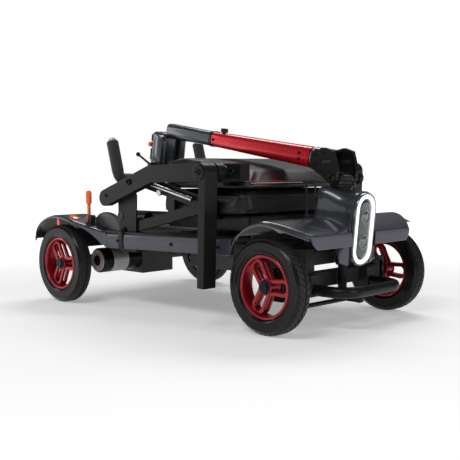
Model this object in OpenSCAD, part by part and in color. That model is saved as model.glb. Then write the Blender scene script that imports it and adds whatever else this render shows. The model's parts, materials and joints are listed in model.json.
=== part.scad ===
// Folding four-wheel mobility scooter, shown folded flat for transport.
// +X is forward, +Y is the rider's left, +Z is up. The origin is on the ground,
// under the middle of the whole length and on the centre plane.

/* [Overall] */
// distance between the front and rear axles
wheelbase = 675.5; // [600:0.5:800]
// distance between the middles of the front tyres
front_track = 419; // [380:1:460]
// distance between the middles of the rear tyres
rear_track = 505; // [470:1:560]
// how far the front bumper reaches ahead of the middle of the wheelbase
front_reach = 464; // [440:1:520]
// how far the rear fenders reach behind the middle of the wheelbase
rear_reach = 442; // [430:1:500]

/* [Wheels] */
// outer diameter of every tyre
wheel_d = 200; // [180:1:230]
// width of every tyre
tyre_w = 39.4; // [32:0.2:48]
// radius where the tyre meets the rim
rim_r = 66.7; // [55:0.1:75]
// radius of the wheel axles
axle_r = 8; // [6:0.5:10]
// radial running clearance of every pin in its bore
run_gap = 0.05; // [0.02:0.01:0.1]
// gap between parts that only sit against each other
fit_gap = 0.3; // [0.2:0.05:0.6]

/* [Deck] */
// height of the deck's top face above the ground
deck_z = 190; // [170:1:210]
// half width of the deck to the outside of its skirts
deck_half = 231; // [200:1:240]
// thickness of the moulded body panels
skin = 3; // [2:0.5:4]

/* [Steering] */
// distance of the steering shaft ahead of the front axle
stem_ahead = 28.25; // [25:0.25:40]
// half distance between the kingpins
kingpin_y = 160; // [150:1:165]
// length of the steering arms
arm_len = 45; // [35:1:55]
// radius of the steering shaft
stem_r = 10; // [8:0.5:12]

/* [Tiller] */
// height of the fold pivot above the ground
fold_z = 319; // [310:1:330]
// slope of the folded tiller above the horizontal
fold_slope = 9; // [8:0.5:10]
// height of the tiller's centre line above the pivot, square to the tiller
tiller_lift = 33; // [30:1:36]
// distance from the fold pivot to the head of the red tube
tube_end = 413; // [390:1:430]
// distance from the fold pivot to the control head
head_start = 577; // [560:1:590]
// radius of the handlebar grips
grip_r = 15.5; // [13:0.5:17]
// half distance between the grips
grip_y = 150; // [130:1:160]

/* [Seat] */
// half width of both cushions
cushion_half = 184; // [170:1:186]
// length of the seat cushion
seat_len = 290; // [270:1:310]
// thickness of the seat cushion
seat_thick = 58; // [45:1:60]
// length of the lift links between their pivots
link_len = 290.15; // [280:0.5:296]
// length of each armrest bar
armrest_len = 277; // [240:1:285]
// width of each armrest bar across the scooter
armrest_w = 36; // [28:1:40]

/* [Hidden] */
$fn = 64;

mid_x = (front_reach - rear_reach) / 2;
axle_z = wheel_d / 2;
front_x = wheelbase / 2;
rear_x = -wheelbase / 2;
front_y = front_track / 2;
rear_y = rear_track / 2;
stem_x = front_x + stem_ahead;
link_a = [-133, 194];          // lift link pivot on the chassis, x and z
link_slope = 12.74;            // lift link slope when folded
link_f = [link_a[0] + link_len * cos(link_slope), link_a[1] + link_len * sin(link_slope)];
back_b = [-85, 311];           // backrest pivot on the seat frame
arm_p = [202, 334];            // armrest pivot at the front of the backrest arms
rod_d = 100;                   // cross tube's distance along the lift links
rod_pin = [link_a[0] + rod_d * cos(link_slope), link_a[1] + rod_d * sin(link_slope)];
act_c = [-300, 215];           // actuator pivot on the chassis
act_y = -60;
pin_r = 6;
seat_rear = -42;
seat_front = seat_rear + seat_len;
seat_low = 236;
charcoal = [0.16, 0.17, 0.2];
slate = [0.25, 0.27, 0.33];
black = [0.07, 0.07, 0.08];
red = [0.75, 0.05, 0.09];
steel = [0.7, 0.7, 0.72];

// moves the wheelbase-centred layout to the part's origin
module place() translate([-mid_x, 0, 0]) children();

module both() {
  children();
  mirror([0, 1, 0]) children();
}

// round bar across the scooter at x, z
module bar(x, z, r, y0, y1) translate([x, y1, z]) rotate([90, 0, 0]) cylinder(r = r, h = y1 - y0);

// side-view outline stretched across the scooter from y0 to y1
module side(points, y0, y1) translate([0, y1, 0]) rotate([90, 0, 0]) linear_extrude(y1 - y0) polygon(points);

module box(low, high) translate(low) cube(high - low);

// unit vector square to a path at one of its points
function lean(p, i) =
  let (a = p[max(i - 1, 0)], b = p[min(i + 1, len(p) - 1)], d = b - a) [d[1], -d[0]] / norm(d);

// a strip of thickness t below an open path that runs forward
function strip(p, t) = concat(p, [for (i = [len(p) - 1:-1:0]) p[i] + t * lean(p, i)]);

function half_round(p, r, start, n = 20) =
  [for (i = [0 : n]) p + r * [cos(start + 180 * i / n), sin(start + 180 * i / n)]];
// a flat bar with round ends, from a to b
module link_bar(a, b, w, y0, y1) {
  t = atan2(b[1] - a[1], b[0] - a[0]);
  side(concat(half_round(a, w / 2, t + 90), half_round(b, w / 2, t - 90)), y0, y1);
}
// the same bar, cranked at the point m
module bent_bar(a, m, b, w, y0, y1) {
  t = atan2(m[1] - a[1], m[0] - a[0]);
  u = atan2(b[1] - m[1], b[0] - m[0]);
  mitre = w / 2 / cos((t - u) / 2) * [-sin((t + u) / 2), cos((t + u) / 2)];
  side(concat(half_round(a, w / 2, t + 90), [m - mitre], half_round(b, w / 2, u - 90), [m + mitre]), y0, y1);
}

// Wheels ---------------------------------------------------------------

// puts a wheel drawn along +Z, outer side up, on its axle; side is -1 right, 1 left
module on_axle(x, y, side) translate([x, side * y, axle_z]) rotate([side * -90, 0, 0]) children();

module tyre() {
  h = tyre_w / 2;
  r = wheel_d / 2;
  rotate_extrude($fn = 96) polygon([
    [rim_r + fit_gap, -h + 3.7], [rim_r + 3, -h + 0.7], [r - 12, -h], [r - 4, -h + 3.5], [r - 0.8, -h + 10],
    [r, -3], [r, 3], [r - 0.8, h - 10], [r - 4, h - 3.5], [r - 12, h], [rim_r + 3, h - 0.7], [rim_r + fit_gap, h - 3.7]]);
}

module petal(w, r0, r1) {
  translate([-w / 2, r0]) square([w, r1 - w / 2 - r0]);
  translate([0, r1 - w / 2]) circle(d = w);
}

module rim(bore) {
  h = tyre_w / 2;
  difference() {
    union() {
      rotate_extrude($fn = 96) polygon([
        [rim_r - 6, -h + 3], [rim_r, -h + 3], [rim_r, h - 3], [rim_r - 5, h - 3]]);
      translate([0, 0, -h + 1]) cylinder(r = 17, h = tyre_w - 9);
      for (z = [-11, 2]) translate([0, 0, z]) linear_extrude(7) for (a = [60, 180, 300]) rotate(a) difference() {
        petal(36, 6, rim_r - 2);
        petal(20, 19, rim_r - 11);
      }
    }
    translate([0, 0, -40]) cylinder(r = bore, h = 80);
  }
}

module hub_cap() {
  h = tyre_w / 2 - 8 + fit_gap;
  translate([0, 0, h]) cylinder(r = 15, h = 3);
  translate([0, 0, h + 3]) cylinder(r = 10, h = 4, $fn = 6);
}

module rear_shaft(side) difference() {
  bar(rear_x, axle_z, axle_r, min(side * 20, side * (rear_y + 9)), max(side * 20, side * (rear_y + 9)));
  // keyway for the wheel
  y = side * (rear_y - 8);
  translate([rear_x - 2, y - 8, axle_z + axle_r - 2]) cube([4, 16, 4]);
}

module front_right_tyre() color(black) place() on_axle(front_x, front_y, -1) tyre();
module front_left_tyre() color(black) place() on_axle(front_x, front_y, 1) tyre();
module rear_right_tyre() color(black) place() on_axle(rear_x, rear_y, -1) tyre();
module rear_left_tyre() color(black) place() on_axle(rear_x, rear_y, 1) tyre();
module front_right_rim() color(red) place() on_axle(front_x, front_y, -1) rim(axle_r + run_gap);
module front_left_rim() color(red) place() on_axle(front_x, front_y, 1) rim(axle_r + run_gap);
module rear_right_rim() color(red) place() on_axle(rear_x, rear_y, -1) rim(axle_r + 0.2);
module rear_left_rim() color(red) place() on_axle(rear_x, rear_y, 1) rim(axle_r + 0.2);
module front_right_cap() color(black) place() on_axle(front_x, front_y, -1) hub_cap();
module front_left_cap() color(black) place() on_axle(front_x, front_y, 1) hub_cap();
module rear_right_cap() color(black) place() on_axle(rear_x, rear_y, -1) hub_cap();
module rear_left_cap() color(black) place() on_axle(rear_x, rear_y, 1) hub_cap();
module rear_right_shaft() color(steel) place() rear_shaft(-1);
module rear_left_shaft() color(steel) place() rear_shaft(1);

// Chassis --------------------------------------------------------------

module frame_rails() color(black) place() {
  // two box rails, three cross tubes and the outriggers that carry the pivot plates
  difference() {
    union() {
      both() box([-400, 72, 140], [318, 100, 168]);
      for (x = [-330, -190, 232]) box([x, -100, 144], [x + 24, 100, 166]);
      both() box([-154, 90, 140], [-96, 208.8, 164]);
      both() box([60, 90, 150], [84, 222, 168]);
      // bracket for the actuator
      for (y = [act_y - 18, act_y + 14]) {
        box([-330, y, 160], [-290, y + 4, 200]);
        link_bar([-305, 190], act_c, 26, y, y + 4);
      }
    }
    bar(act_c[0], act_c[1], pin_r + run_gap, act_y - 30, act_y + 30);
    both() box([-396, 74.5, 142.5], [314, 97.5, 165.5]);
  }
}

module front_subframe() color(black) place() difference() {
  union() {
    box([front_x - 15, -kingpin_y, 84], [front_x + 13, kingpin_y, 116]);
    both() translate([front_x, kingpin_y, 76]) cylinder(r = 13, h = 48);
    // posts up to the rails
    both() box([front_x - 15, 72, 116], [front_x + 8, 100, 168]);
    both() box([front_x - 19.25 - 0.2, 72, 140], [front_x - 15, 100, 168]);
    // steering tube and its web
    translate([stem_x, 0, 130]) cylinder(r = 15, h = 160);
    box([front_x - 5, -100, 132], [front_x + 8, 100, 160]);
    box([front_x, -8, 160], [stem_x - 4, 8, 270]);
    // bumper sockets
    both() box([front_x + 13, 84, 70], [front_x + 34, 116, 116]);
  }
  both() translate([front_x, kingpin_y, 60]) cylinder(r = pin_r + run_gap, h = 80);
  translate([stem_x, 0, 120]) cylinder(r = stem_r + run_gap, h = 200);
}

module floor_pan() color(charcoal) place() difference() {
  union() {
    box([-196, -deck_half + 4, deck_z - 6], [262, deck_half - 4, deck_z]);
    box([256, -176, deck_z], [262, 176, deck_z + 12]);
    for (y = [-120:40:120]) box([-30, y - 5, deck_z], [240, y + 5, deck_z + 1.6]);
  }
  both() box([-166, 194, deck_z - 10], [-78, 216, deck_z + 10]);
}

skirt_path = [[-192, 184], [-175, 182], [86, 189], [208, 192], [250, 194], [250, 158], [208, 155], [86, 152], [-164, 145], [-192, 152]];
module side_skirts() color(slate) place() both() side(skirt_path, deck_half - 3.5, deck_half);

wing_path = [[251, 162], [255, 177], [263, 192], [274, 207], [292, 221], [316, 231], [343, 235], [372, 229], [400, 217], [420, 206], [424, 200], [426, 175]];
module front_wing() color(charcoal) place() both() difference() {
  intersection() {
    side(strip(wing_path, skin), 20, 236);
    translate([0, 0, 140]) linear_extrude(110) polygon([[246, 0], [246, 236], [343, 236], [385, 212], [424, 174], [430, 160], [430, 0]]);
  }
  box([240, 0, 150], [275, 227.6, 203]);
  // opening for the nose
  translate([0, 0, 150]) linear_extrude(110) polygon([[290, -1], [440, -1], [440, 46], [405, 46], [335, 60], [290, 60]]);
  // clear of the skirt
  box([240, 200, 150], [250.6, 231.6, 196]);
}

liner_path = [[287, 209], [302, 219], [322, 226.5], [343, 229], [368, 223], [390, 214.5]];
rear_liner_path = [[-416, 188], [-396, 206], [-366, 216], [-342, 218.5], [-312, 215.5], [-284, 208], [-256, 197]];
module fender_liners() color([0.36, 0.36, 0.3]) place() both() {
  side(strip(liner_path, 2), 150, 233);
  side(strip(rear_liner_path, 2), 184, 270);
}

rear_path = [[-442, 160], [-438, 180], [-424, 199], [-398, 214], [-368, 223], [-342, 225], [-310, 222], [-280, 214], [-250, 203], [-224, 193], [-206, 188], [-198, 187]];
module rear_cover() color(charcoal) place() difference() {
  union() {
    both() side(strip(rear_path, skin), 178, 274);
    // flat centre, side walls and back wall
    box([-432, -181, deck_z - 6], [-200, 181, deck_z]);
    both() side(concat([[-432, deck_z - 4]], [for (i = [2:1:9]) rear_path[i] + [0, -1]], [[-206, deck_z - 4]]), 178, 181);
    box([-432, -181, 128], [-429, 181, deck_z - 2]);
    // ears for the freewheel lever
    for (y = [-234, -222]) side([[-270, 206], [-270, 222], [-262, 227], [-254, 222], [-254, 200]], y, y + 3);
    // humps beside the seat
    both() translate([-214, 204, 190]) rotate([90, 0, 0]) cylinder(r = 14, h = 22);
  }
  box([act_c[0] - 34, act_y - 22, deck_z - 10], [act_c[0] + 40, act_y + 22, deck_z + 10]);
  bar(-262, 218, 4 + run_gap, -236, -217);
}

module rear_lights() color([0.9, 0.12, 0.05]) place() both() {
  side([[-352, 226], [-310, 223.2], [-282, 215.4], [-282, 219], [-308, 227], [-352, 229.6]], 232, 262);
  // reflectors on the back wall
  box([-434.5, 120, 150], [-432.2, 168, 172]);
}

// cowl solid; the inner one is drawn smaller by g
module cowl(g) hull() for (y = [-1, 1]) {
  translate([406, y * (14 - g / 2), 264]) rotate([0, 90, 0]) cylinder(r = 26 - g, h = 20 - 4 * g);
  translate([395, y * (12 - g / 2), 158]) rotate([0, 90, 0]) cylinder(r = 26 - g, h = 20 - 4 * g);
  translate([344 + g, y * (36 - g), 292 - g]) sphere(r = 12);
  translate([322 + g, y * (44 - g), 226]) sphere(r = 10);
  translate([350 + g, y * (40 - g), 170]) cylinder(r = 10, h = 20);
}

module nose_cowl() color(charcoal) place() difference() {
  cowl(0, $fn = 32);
  cowl(skin, $fn = 32);
  translate([stem_x, 0, 280]) cylinder(r = 24, h = 60);
  box([290, -80, 120], [392, 80, 200]);
  translate([stem_x, 0, 120]) cylinder(r = 17, h = 100);
  box([front_x - 6, -9, 150], [stem_x, 9, 275]);
  // seat for the headlamp
  lamp_at() stadium(72.6, 158.6, -fit_gap, 20);
  lamp_at() translate([3, -60, -100]) cube([30, 120, 200]);
}

// upright stadium outline facing forward
module stadium(w, h, x0, x1) {
  r = w / 2;
  translate([x0, 0, 0]) rotate([90, 0, 90]) linear_extrude(x1 - x0) union() {
    translate([-r, -h / 2 + r]) square([w, h - w]);
    translate([0, h / 2 - r]) circle(r);
    translate([0, -h / 2 + r]) circle(r);
  }
}

lamp_z = 210;
module lamp_at() translate([415.4, 0, lamp_z]) rotate([0, 6, 0]) children();
module lamp_bezel() color(black) place() lamp_at() difference() {
  stadium(72, 158, 0, 9);
  stadium(66, 152, 3, 12);
}
module lamp_ring() color([0.95, 0.96, 1]) place() lamp_at() difference() {
  stadium(65.4, 151.4, 3.3, 10);
  stadium(45, 131, 3, 12);
}
module lamp_lens() color([0.55, 0.57, 0.6]) place() lamp_at() {
  difference() {
    stadium(44.4, 130.4, 3.3, 7);
    for (z = [-26, 26]) translate([5, 0, z]) rotate([0, 90, 0]) cylinder(r = 17.4, h = 10);
  }
  for (z = [-26, 26]) translate([5.3, 0, z]) rotate([0, 90, 0]) cylinder(r = 16.8, h = 3);
}

module bumper() color(black) place() {
  r = 12;
  y = 60;
  bend = 40;
  x = front_reach - r;
  bar(x, 84, r, -y, y);
  both() {
    translate([x - bend, y, 84]) rotate([0, 0, 0]) rotate_extrude(angle = 90) translate([bend, 0]) circle(r);
    translate([front_x + 34.3, y + bend, 84]) rotate([0, 90, 0]) cylinder(r = r, h = x - bend - front_x - 34.3);
  }
}

module pivot_plates() color(black) place() both() difference() {
  side([[-158, 272], [-150, 284], [-94, 288], [-86, 280], [-90, 166], [-150, 166], [-158, 236]], 209.3, 213);
  bar(link_a[0], link_a[1], pin_r + run_gap, 200, 220);
}

module battery() color(black) place() {
  box([-60, -66, 98], [200, 66, 172]);
  box([40, -66.3 - 4, 120], [100, -66, 150]);
}
module controller() color([0.3, 0.3, 0.32]) place() {
  box([-180 + 30, -62, 120], [-72, 62, 168]);
  for (y = [-50:20:50]) box([-148, y - 3, 168], [-74, y + 3, 174]);
}

motor_x = rear_x + 49.75;
module motor() color(black) place() {
  bar(motor_x, 104, 31, -183, -62.3);
  bar(motor_x, 104, 26, -186, -183);
  bar(motor_x, 104, 32, -128, -98);
}

module gearbox() color([0.2, 0.2, 0.22]) place() difference() {
  union() {
    box([rear_x - 42, -62, 62], [motor_x + 34, 46, 137]);
    bar(rear_x, axle_z, 16, -222, 222);
  }
  both() bar(rear_x, axle_z, axle_r + run_gap, 18, 240);
}

module freewheel_lever() color([0.95, 0.4, 0.05]) place() {
  bar(-262, 218, 6, -230.6, -222.4);
  bar(-262, 218, 4, -234, -219);
  box([-266, -229.5, 218], [-258, -223.5, 254]);
  translate([-262, -226.5, 254]) cylinder(r = 7.5, h = 26);
  translate([-262, -226.5, 280]) sphere(r = 7.5);
}

// Front steering -------------------------------------------------------

module knuckle(side) mirror([0, side < 0 ? 1 : 0, 0]) {
  translate([front_x, kingpin_y, 66]) cylinder(r = pin_r, h = 68);
  for (z = [65, 124.3]) {
    translate([front_x, kingpin_y, z]) cylinder(r = 13, h = 10);
    box([front_x - 13, kingpin_y, z], [front_x + 13, kingpin_y + 20, z + 10]);
  }
  box([front_x - 13, kingpin_y + 14, 65], [front_x + 13, kingpin_y + 22, 134.3]);
  bar(front_x, axle_z, 12, kingpin_y + 20, front_y - tyre_w / 2 - 1.5);
  bar(front_x, axle_z, axle_r, kingpin_y + 20, front_y + tyre_w / 2 - 9);
  // steering arm and its ball stud
  box([front_x, kingpin_y - 8, 65], [front_x + arm_len, kingpin_y + 8, 72]);
  translate([front_x + arm_len, kingpin_y, 65]) cylinder(r = 8, h = 7);
  translate([front_x + arm_len, kingpin_y, 50]) cylinder(r = 4, h = 16);
}
module right_knuckle() color(black) place() knuckle(-1);
module left_knuckle() color(black) place() knuckle(1);

module track_rod() color([0.45, 0.45, 0.47]) place() difference() {
  union() {
    both() translate([front_x + arm_len, kingpin_y, 52]) cylinder(r = 10, h = 10);
    bar(front_x + arm_len, 57, 5, -kingpin_y + 6, kingpin_y - 6);
    translate([stem_x + arm_len, 0, 52]) cylinder(r = 10, h = 10);
    box([front_x + arm_len - 4, -9, 52], [stem_x + arm_len, 9, 62]);
  }
  for (y = [-kingpin_y, kingpin_y]) translate([front_x + arm_len, y, 40]) cylinder(r = 4 + run_gap, h = 40);
  translate([stem_x + arm_len, 0, 40]) cylinder(r = 4 + run_gap, h = 40);
}

module steering_stem() color(steel) place() {
  translate([stem_x, 0, 65]) cylinder(r = stem_r, h = 233);
  translate([stem_x, 0, 290.4]) cylinder(r = 21, h = 8);
  // drop arm
  translate([stem_x, 0, 65]) cylinder(r = 14, h = 10);
  box([stem_x, -9, 65], [stem_x + arm_len, 9, 72]);
  translate([stem_x + arm_len, 0, 65]) cylinder(r = 9, h = 7);
  translate([stem_x + arm_len, 0, 50]) cylinder(r = 4, h = 16);
}

module hinge_yoke() color(black) place() {
  translate([stem_x, 0, 298.6]) cylinder(r = 23, h = 6);
  box([stem_x - 12, -17, 304], [stem_x + 12, 17, fold_z]);
  bar(stem_x, fold_z, 13, -17, 17);
  bar(stem_x, fold_z, 7, -42, 42);
}

// held lead: out of the wing beside the nose, over a half loop and back to the nose's side
module cable_loop() color(black) place() {
  r = 2.5;
  y = -63;
  loop = 12;
  translate([316, y, 236.5]) cylinder(r = r, h = 64);
  translate([316 + loop, y, 300.4]) rotate([90, 0, 0]) rotate_extrude(angle = 180) translate([loop, 0]) circle(r);
  translate([316 + 2 * loop, y, 276]) cylinder(r = r, h = 24.5);
  translate([316 + 2 * loop, y, 276]) sphere(r = r);
  translate([316 + 2 * loop, y, 276]) rotate([-90, 0, 0]) cylinder(r = r, h = 9);
}

// Tiller ---------------------------------------------------------------

// tiller frame: origin on the fold pivot, x backwards along the folded tiller is negative
module on_tiller() translate([stem_x, 0, fold_z]) rotate([0, fold_slope, 0]) children();

module hinge_cheeks() color(black) place() on_tiller() both() difference() {
  union() {
    side([[-64, 14], [-64, 50], [-30, 62], [-6, 58], [11, 20], [11, 0], [6, -9], [-4, -11], [-16, -7], [-34, 4]], 30, 40);
    bar(0, 0, 12, 30, 41);
    // plate across the top and blocks that meet the collar
    box([-62, -1, 51], [-34, 31, 55.5]);
    box([-64, 17.6, 16], [-52, 40, 50]);
  }
  bar(0, 0, 7 + run_gap, 10, 60);
  side([[-36, 26], [-36, 34], [-10, 40], [-6, 32]], 20, 60);
}

module base_collar() color([0.6, 0.6, 0.63]) place() on_tiller() difference() {
  translate([-82, 0, tiller_lift]) rotate([0, 90, 0]) cylinder(r = 25, h = 17.8);
  translate([-84, 0, tiller_lift]) rotate([0, 90, 0]) cylinder(r = 8, h = 30);
}

module lower_tube() color(red) place() on_tiller() difference() {
  // tapering tube, wider at the hinge end
  translate([-tube_end, 0, tiller_lift]) rotate([0, 90, 0]) cylinder(r1 = 18.5, r2 = 24, h = tube_end - 82.3);
  translate([-tube_end - 1, 0, tiller_lift]) rotate([0, 90, 0]) cylinder(r = 16.3, h = tube_end - 90);
  translate([-tube_end + 34, 0, tiller_lift]) cylinder(r = 3 + run_gap, h = 40);
}

module clamp_knob() color(black) place() on_tiller() {
  translate([-tube_end + 34, 0, tiller_lift + 20]) cylinder(r = 9, h = 10);
  translate([-tube_end + 34, 0, tiller_lift + 16.8]) cylinder(r = 3, h = 6);
}

module upper_tube() color(slate) place() on_tiller() {
  translate([-head_start, 0, tiller_lift]) rotate([0, 90, 0]) cylinder(r = 16, h = head_start - tube_end + 80);
  translate([-head_start, 0, tiller_lift]) rotate([0, 90, 0]) cylinder(r = 20, h = head_start - tube_end - 2);
}

module head_pod() color(charcoal) place() on_tiller() difference() {
  union() {
    for (y = [-30, 30], z = [-52, 16]) translate([-head_start - 62, y, z]) rotate([0, 90, 0]) cylinder(r = 14, h = 61.7);
    box([-head_start - 62, -44, -52], [-head_start - 0.3, 44, 16]);
    box([-head_start - 62, -30, -66], [-head_start - 0.3, 30, 30]);
  }
  // pockets for the key switch and the horn button
  translate([-head_start - 70, 18, -10]) rotate([0, 90, 0]) cylinder(r = 7, h = 20);
  translate([-head_start - 70, -18, -10]) rotate([0, 90, 0]) cylinder(r = 7, h = 20);
  // bores for the brake lever's and the paddle's pins
  bar(-head_start - 6, -58, 4 + run_gap, -46, -35);
  bar(-head_start - 22, -30, 4 + run_gap, 35, 46);
}

// handlebar frame: origin where the bar crosses the centre plane, +Z along the grips
module at_bar() on_tiller() translate([-head_start - 15, 0, -97]) rotate([0, -25, 0]) children();
bar_r = 11;
bend_r = 16;

module handlebar() color(black) place() {
  at_bar() {
    bar(0, 0, bar_r, bend_r - grip_y, grip_y - bend_r);
    both() translate([0, grip_y - bend_r, bend_r]) rotate([90, 0, 90]) rotate([0, 0, -90]) rotate_extrude(angle = 90) translate([bend_r, 0]) circle(bar_r);
    both() translate([0, grip_y, bend_r]) cylinder(r = bar_r, h = 84);
  }
  on_tiller() box([-head_start - 28, -15, -99], [-head_start - 3, 15, -66.3]);
}

module grips() color(black) place() at_bar() both() difference() {
  translate([0, grip_y, bend_r + 2]) cylinder(r = grip_r, h = 85);
  translate([0, grip_y, bend_r - 2]) cylinder(r = bar_r + fit_gap, h = 86.5);
}

lever_x = -head_start - 6;
module brake_lever() color(steel) place() on_tiller() {
  bar(lever_x, -58, 6, -64, -44.5);
  bar(lever_x, -58, 4, -45, -36);
  translate([lever_x, -59, -58]) rotate([0, -70, 0]) cylinder(r = 3, h = 56);
  translate([lever_x, -59, -58]) rotate([0, -70, 0]) translate([0, 0, 58]) sphere(r = 6);
}
paddle_x = -head_start - 22;
module throttle_paddle() color(black) place() on_tiller() {
  bar(paddle_x, -30, 7, 44.5, 56);
  bar(paddle_x, -30, 4, 36, 45);
  box([paddle_x - 34, 46, -34], [paddle_x, 55, -27]);
}
module horn_button() color([0.9, 0.6, 0.1]) place() on_tiller()
  translate([-head_start - 66, -18, -10]) rotate([0, 90, 0]) cylinder(r = 6.6, h = 10);
module key_switch() color(steel) place() on_tiller() {
  translate([-head_start - 66, 18, -10]) rotate([0, 90, 0]) cylinder(r = 6.6, h = 12);
  box([-head_start - 78, 16.6, -17], [-head_start - 65, 19.4, -3]);
}

// Seat -----------------------------------------------------------------

module lift_links() color(black) place() {
  both() difference() {
    union() {
      link_bar(link_a, link_f, 24, 196, 208);
      bar(link_a[0], link_a[1], pin_r, 196, 213.5);
    }
    bar(link_f[0], link_f[1], pin_r + run_gap, 180, 220);
  }
  bar(rod_pin[0], rod_pin[1], 7, -197, 197);
}

module seat_frame() color([0.13, 0.13, 0.14]) place() {
  both() {
    difference() {
      union() {
        link_bar(back_b, link_f, 30, 186.6, 190.5);
        box([2, 186.6, 229], [26, 190.5, 290]);
        box([140, 186.6, 229], [164, 190.5, 262]);
      }
      bar(back_b[0], back_b[1], pin_r + run_gap, 180, 220);
    }
    bar(link_f[0], link_f[1], pin_r, 186.6, 208.4);
    // bright side tube on two posts
    translate([-46, 199, 304.8]) rotate([0, 103, 0]) cylinder(r = 5, h = 146);
    bar(-38, 303, 3.6, 186.6, 200);
    bar(88, 274, 3.6, 186.6, 200);
  }
  for (x = [2, 140]) box([x, -188, 229], [x + 24, 188, 235.7]);
}

module cushion_block(len, half, low, high, r) {
  for (x = [r, len - r], y = [-half + r, half - r]) translate([x, y, low]) cylinder(r = r, h = high - low);
  box([r, -half, low], [len - r, half, high]);
  box([0, -half + r, low], [len, half - r, high]);
}
module seat_cushion() color(black) place() translate([seat_rear, 0, 0]) cushion_block(seat_len, cushion_half, seat_low, seat_low + seat_thick, 30);

module backrest_cushion() color(black) place() difference() {
  back_pad();
  both() box([185.4, 167.4, 313.4], [246.6, 200, 380]);
}
module back_pad() {
  low = seat_low + seat_thick + 1;
  intersection() {
    translate([seat_rear, 0, 0]) cushion_block(seat_len - 4, cushion_half - 2, low, 380, 34);
    side([[seat_rear - 4, low], [seat_rear - 4, 352], [seat_rear + 10, 364], [20, 362], [150, 344], [216, 329], [238, 318], [250, 303], [250, low]], -200, 200);
  }
}

module backrest_arms() color(black) place() both() {
  difference() {
    union() {
      bent_bar([-184, 271], [-8, 330], arm_p, 40, 214.5, 236);
    }
    bar(arm_p[0], arm_p[1], 8 + run_gap, 200, 239);
  }
  bar(back_b[0], back_b[1], pin_r, 186.6, 216);
  // sleeve and block that join the arm to the cushion
  bar(arm_p[0], arm_p[1], 14, 194, 215);
  box([186, 168, 314], [246, 196, 352]);
}

module armrest() translate([arm_p[0], 0, arm_p[1]]) rotate([0, 2, 0]) {
  bar(0, 0, 20, 240, 240 + armrest_w);
  box([0, 240, 32 - armrest_len], [20, 240 + armrest_w, 0]);
  bar(0, 0, 8, 216, 241);
}
module right_armrest() color(black) place() mirror([0, 1, 0]) armrest();
module left_armrest() color(black) place() armrest();

act_tilt = atan2(rod_pin[1] - act_c[1], rod_pin[0] - act_c[0]);
act_reach = norm(rod_pin - act_c);
module on_actuator() translate([act_c[0], act_y, act_c[1]]) rotate([0, -act_tilt, 0]) children();

module actuator_barrel() color([0.2, 0.2, 0.22]) place() on_actuator() difference() {
  union() {
    bar(0, 0, pin_r, -18, 18);
    bar(0, 0, 11, -13, 13);
    rotate([0, 90, 0]) cylinder(r = 13, h = 16.6);
    translate([14.5, 0, 0]) rotate([0, 90, 0]) cylinder(r = 16, h = 169.5);
    // motor on the outer side
    translate([24, -34, 0]) rotate([0, 90, 0]) cylinder(r = 15, h = 90);
    box([20, -44, -14], [38, 0, 14]);
  }
  translate([26, 0, 0]) rotate([0, 90, 0]) cylinder(r = 9 + fit_gap, h = 180);
}

module actuator_rod() color(steel) place() on_actuator() difference() {
  union() {
    translate([80, 0, 0]) rotate([0, 90, 0]) cylinder(r = 9, h = act_reach - 94);
    link_bar([act_reach - 10, 0], [act_reach + 8, 0], 26, -7, 7);
  }
  // slot that lets the links' cross tube drift while the rod draws in
  link_bar([act_reach - 8, 0], [act_reach + 8, 0], 19.6, -10, 10);
}

frame_rails();
front_subframe();
floor_pan();
side_skirts();
front_wing();
fender_liners();
rear_cover();
rear_lights();
nose_cowl();
lamp_ring();
lamp_bezel();
lamp_lens();
bumper();
pivot_plates();
battery();
controller();
motor();
gearbox();
front_right_tyre();
front_right_rim();
front_right_cap();
front_left_tyre();
front_left_rim();
front_left_cap();
rear_right_tyre();
rear_right_rim();
rear_right_cap();
rear_right_shaft();
rear_left_tyre();
rear_left_rim();
rear_left_cap();
rear_left_shaft();
right_knuckle();
left_knuckle();
track_rod();
steering_stem();
hinge_yoke();
cable_loop();
hinge_cheeks();
base_collar();
lower_tube();
clamp_knob();
upper_tube();
head_pod();
handlebar();
grips();
brake_lever();
throttle_paddle();
horn_button();
key_switch();
lift_links();
seat_frame();
seat_cushion();
backrest_arms();
backrest_cushion();
right_armrest();
left_armrest();
actuator_barrel();
actuator_rod();
freewheel_lever();
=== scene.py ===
import bpy, bmesh, json, math
from mathutils import Matrix, Vector
from mathutils.bvhtree import BVHTree


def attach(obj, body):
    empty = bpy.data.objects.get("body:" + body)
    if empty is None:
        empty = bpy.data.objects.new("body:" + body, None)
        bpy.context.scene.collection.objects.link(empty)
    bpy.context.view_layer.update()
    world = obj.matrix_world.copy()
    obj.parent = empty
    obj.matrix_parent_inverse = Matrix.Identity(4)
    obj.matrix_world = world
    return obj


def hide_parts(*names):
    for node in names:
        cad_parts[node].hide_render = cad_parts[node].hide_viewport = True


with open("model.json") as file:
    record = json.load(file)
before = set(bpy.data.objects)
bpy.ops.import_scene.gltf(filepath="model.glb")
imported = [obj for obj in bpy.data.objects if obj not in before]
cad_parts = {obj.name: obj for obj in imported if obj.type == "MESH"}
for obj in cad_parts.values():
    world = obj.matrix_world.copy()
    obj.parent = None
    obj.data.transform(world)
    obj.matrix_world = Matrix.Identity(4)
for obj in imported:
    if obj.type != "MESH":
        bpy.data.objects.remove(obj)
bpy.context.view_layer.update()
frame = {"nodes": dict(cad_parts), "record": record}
scene = bpy.context.scene
bodyOf = {n: b for b, ns in frame["record"]["behaviour"]["bodies"].items() for n in ns}
sides = (-1, 1)


# points are given in mm from the middle of the wheelbase, as the part's drawing has them
def at(x, y, z):
    return Vector(((x - 11) / 1000, y / 1000, z / 1000))


def rotated(degrees, axis):
    return Matrix.Rotation(math.radians(degrees), 4, axis)


def turned(x, z, degrees):
    return Matrix.Translation(at(x, 0, z)) @ rotated(degrees, "Y")


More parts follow.
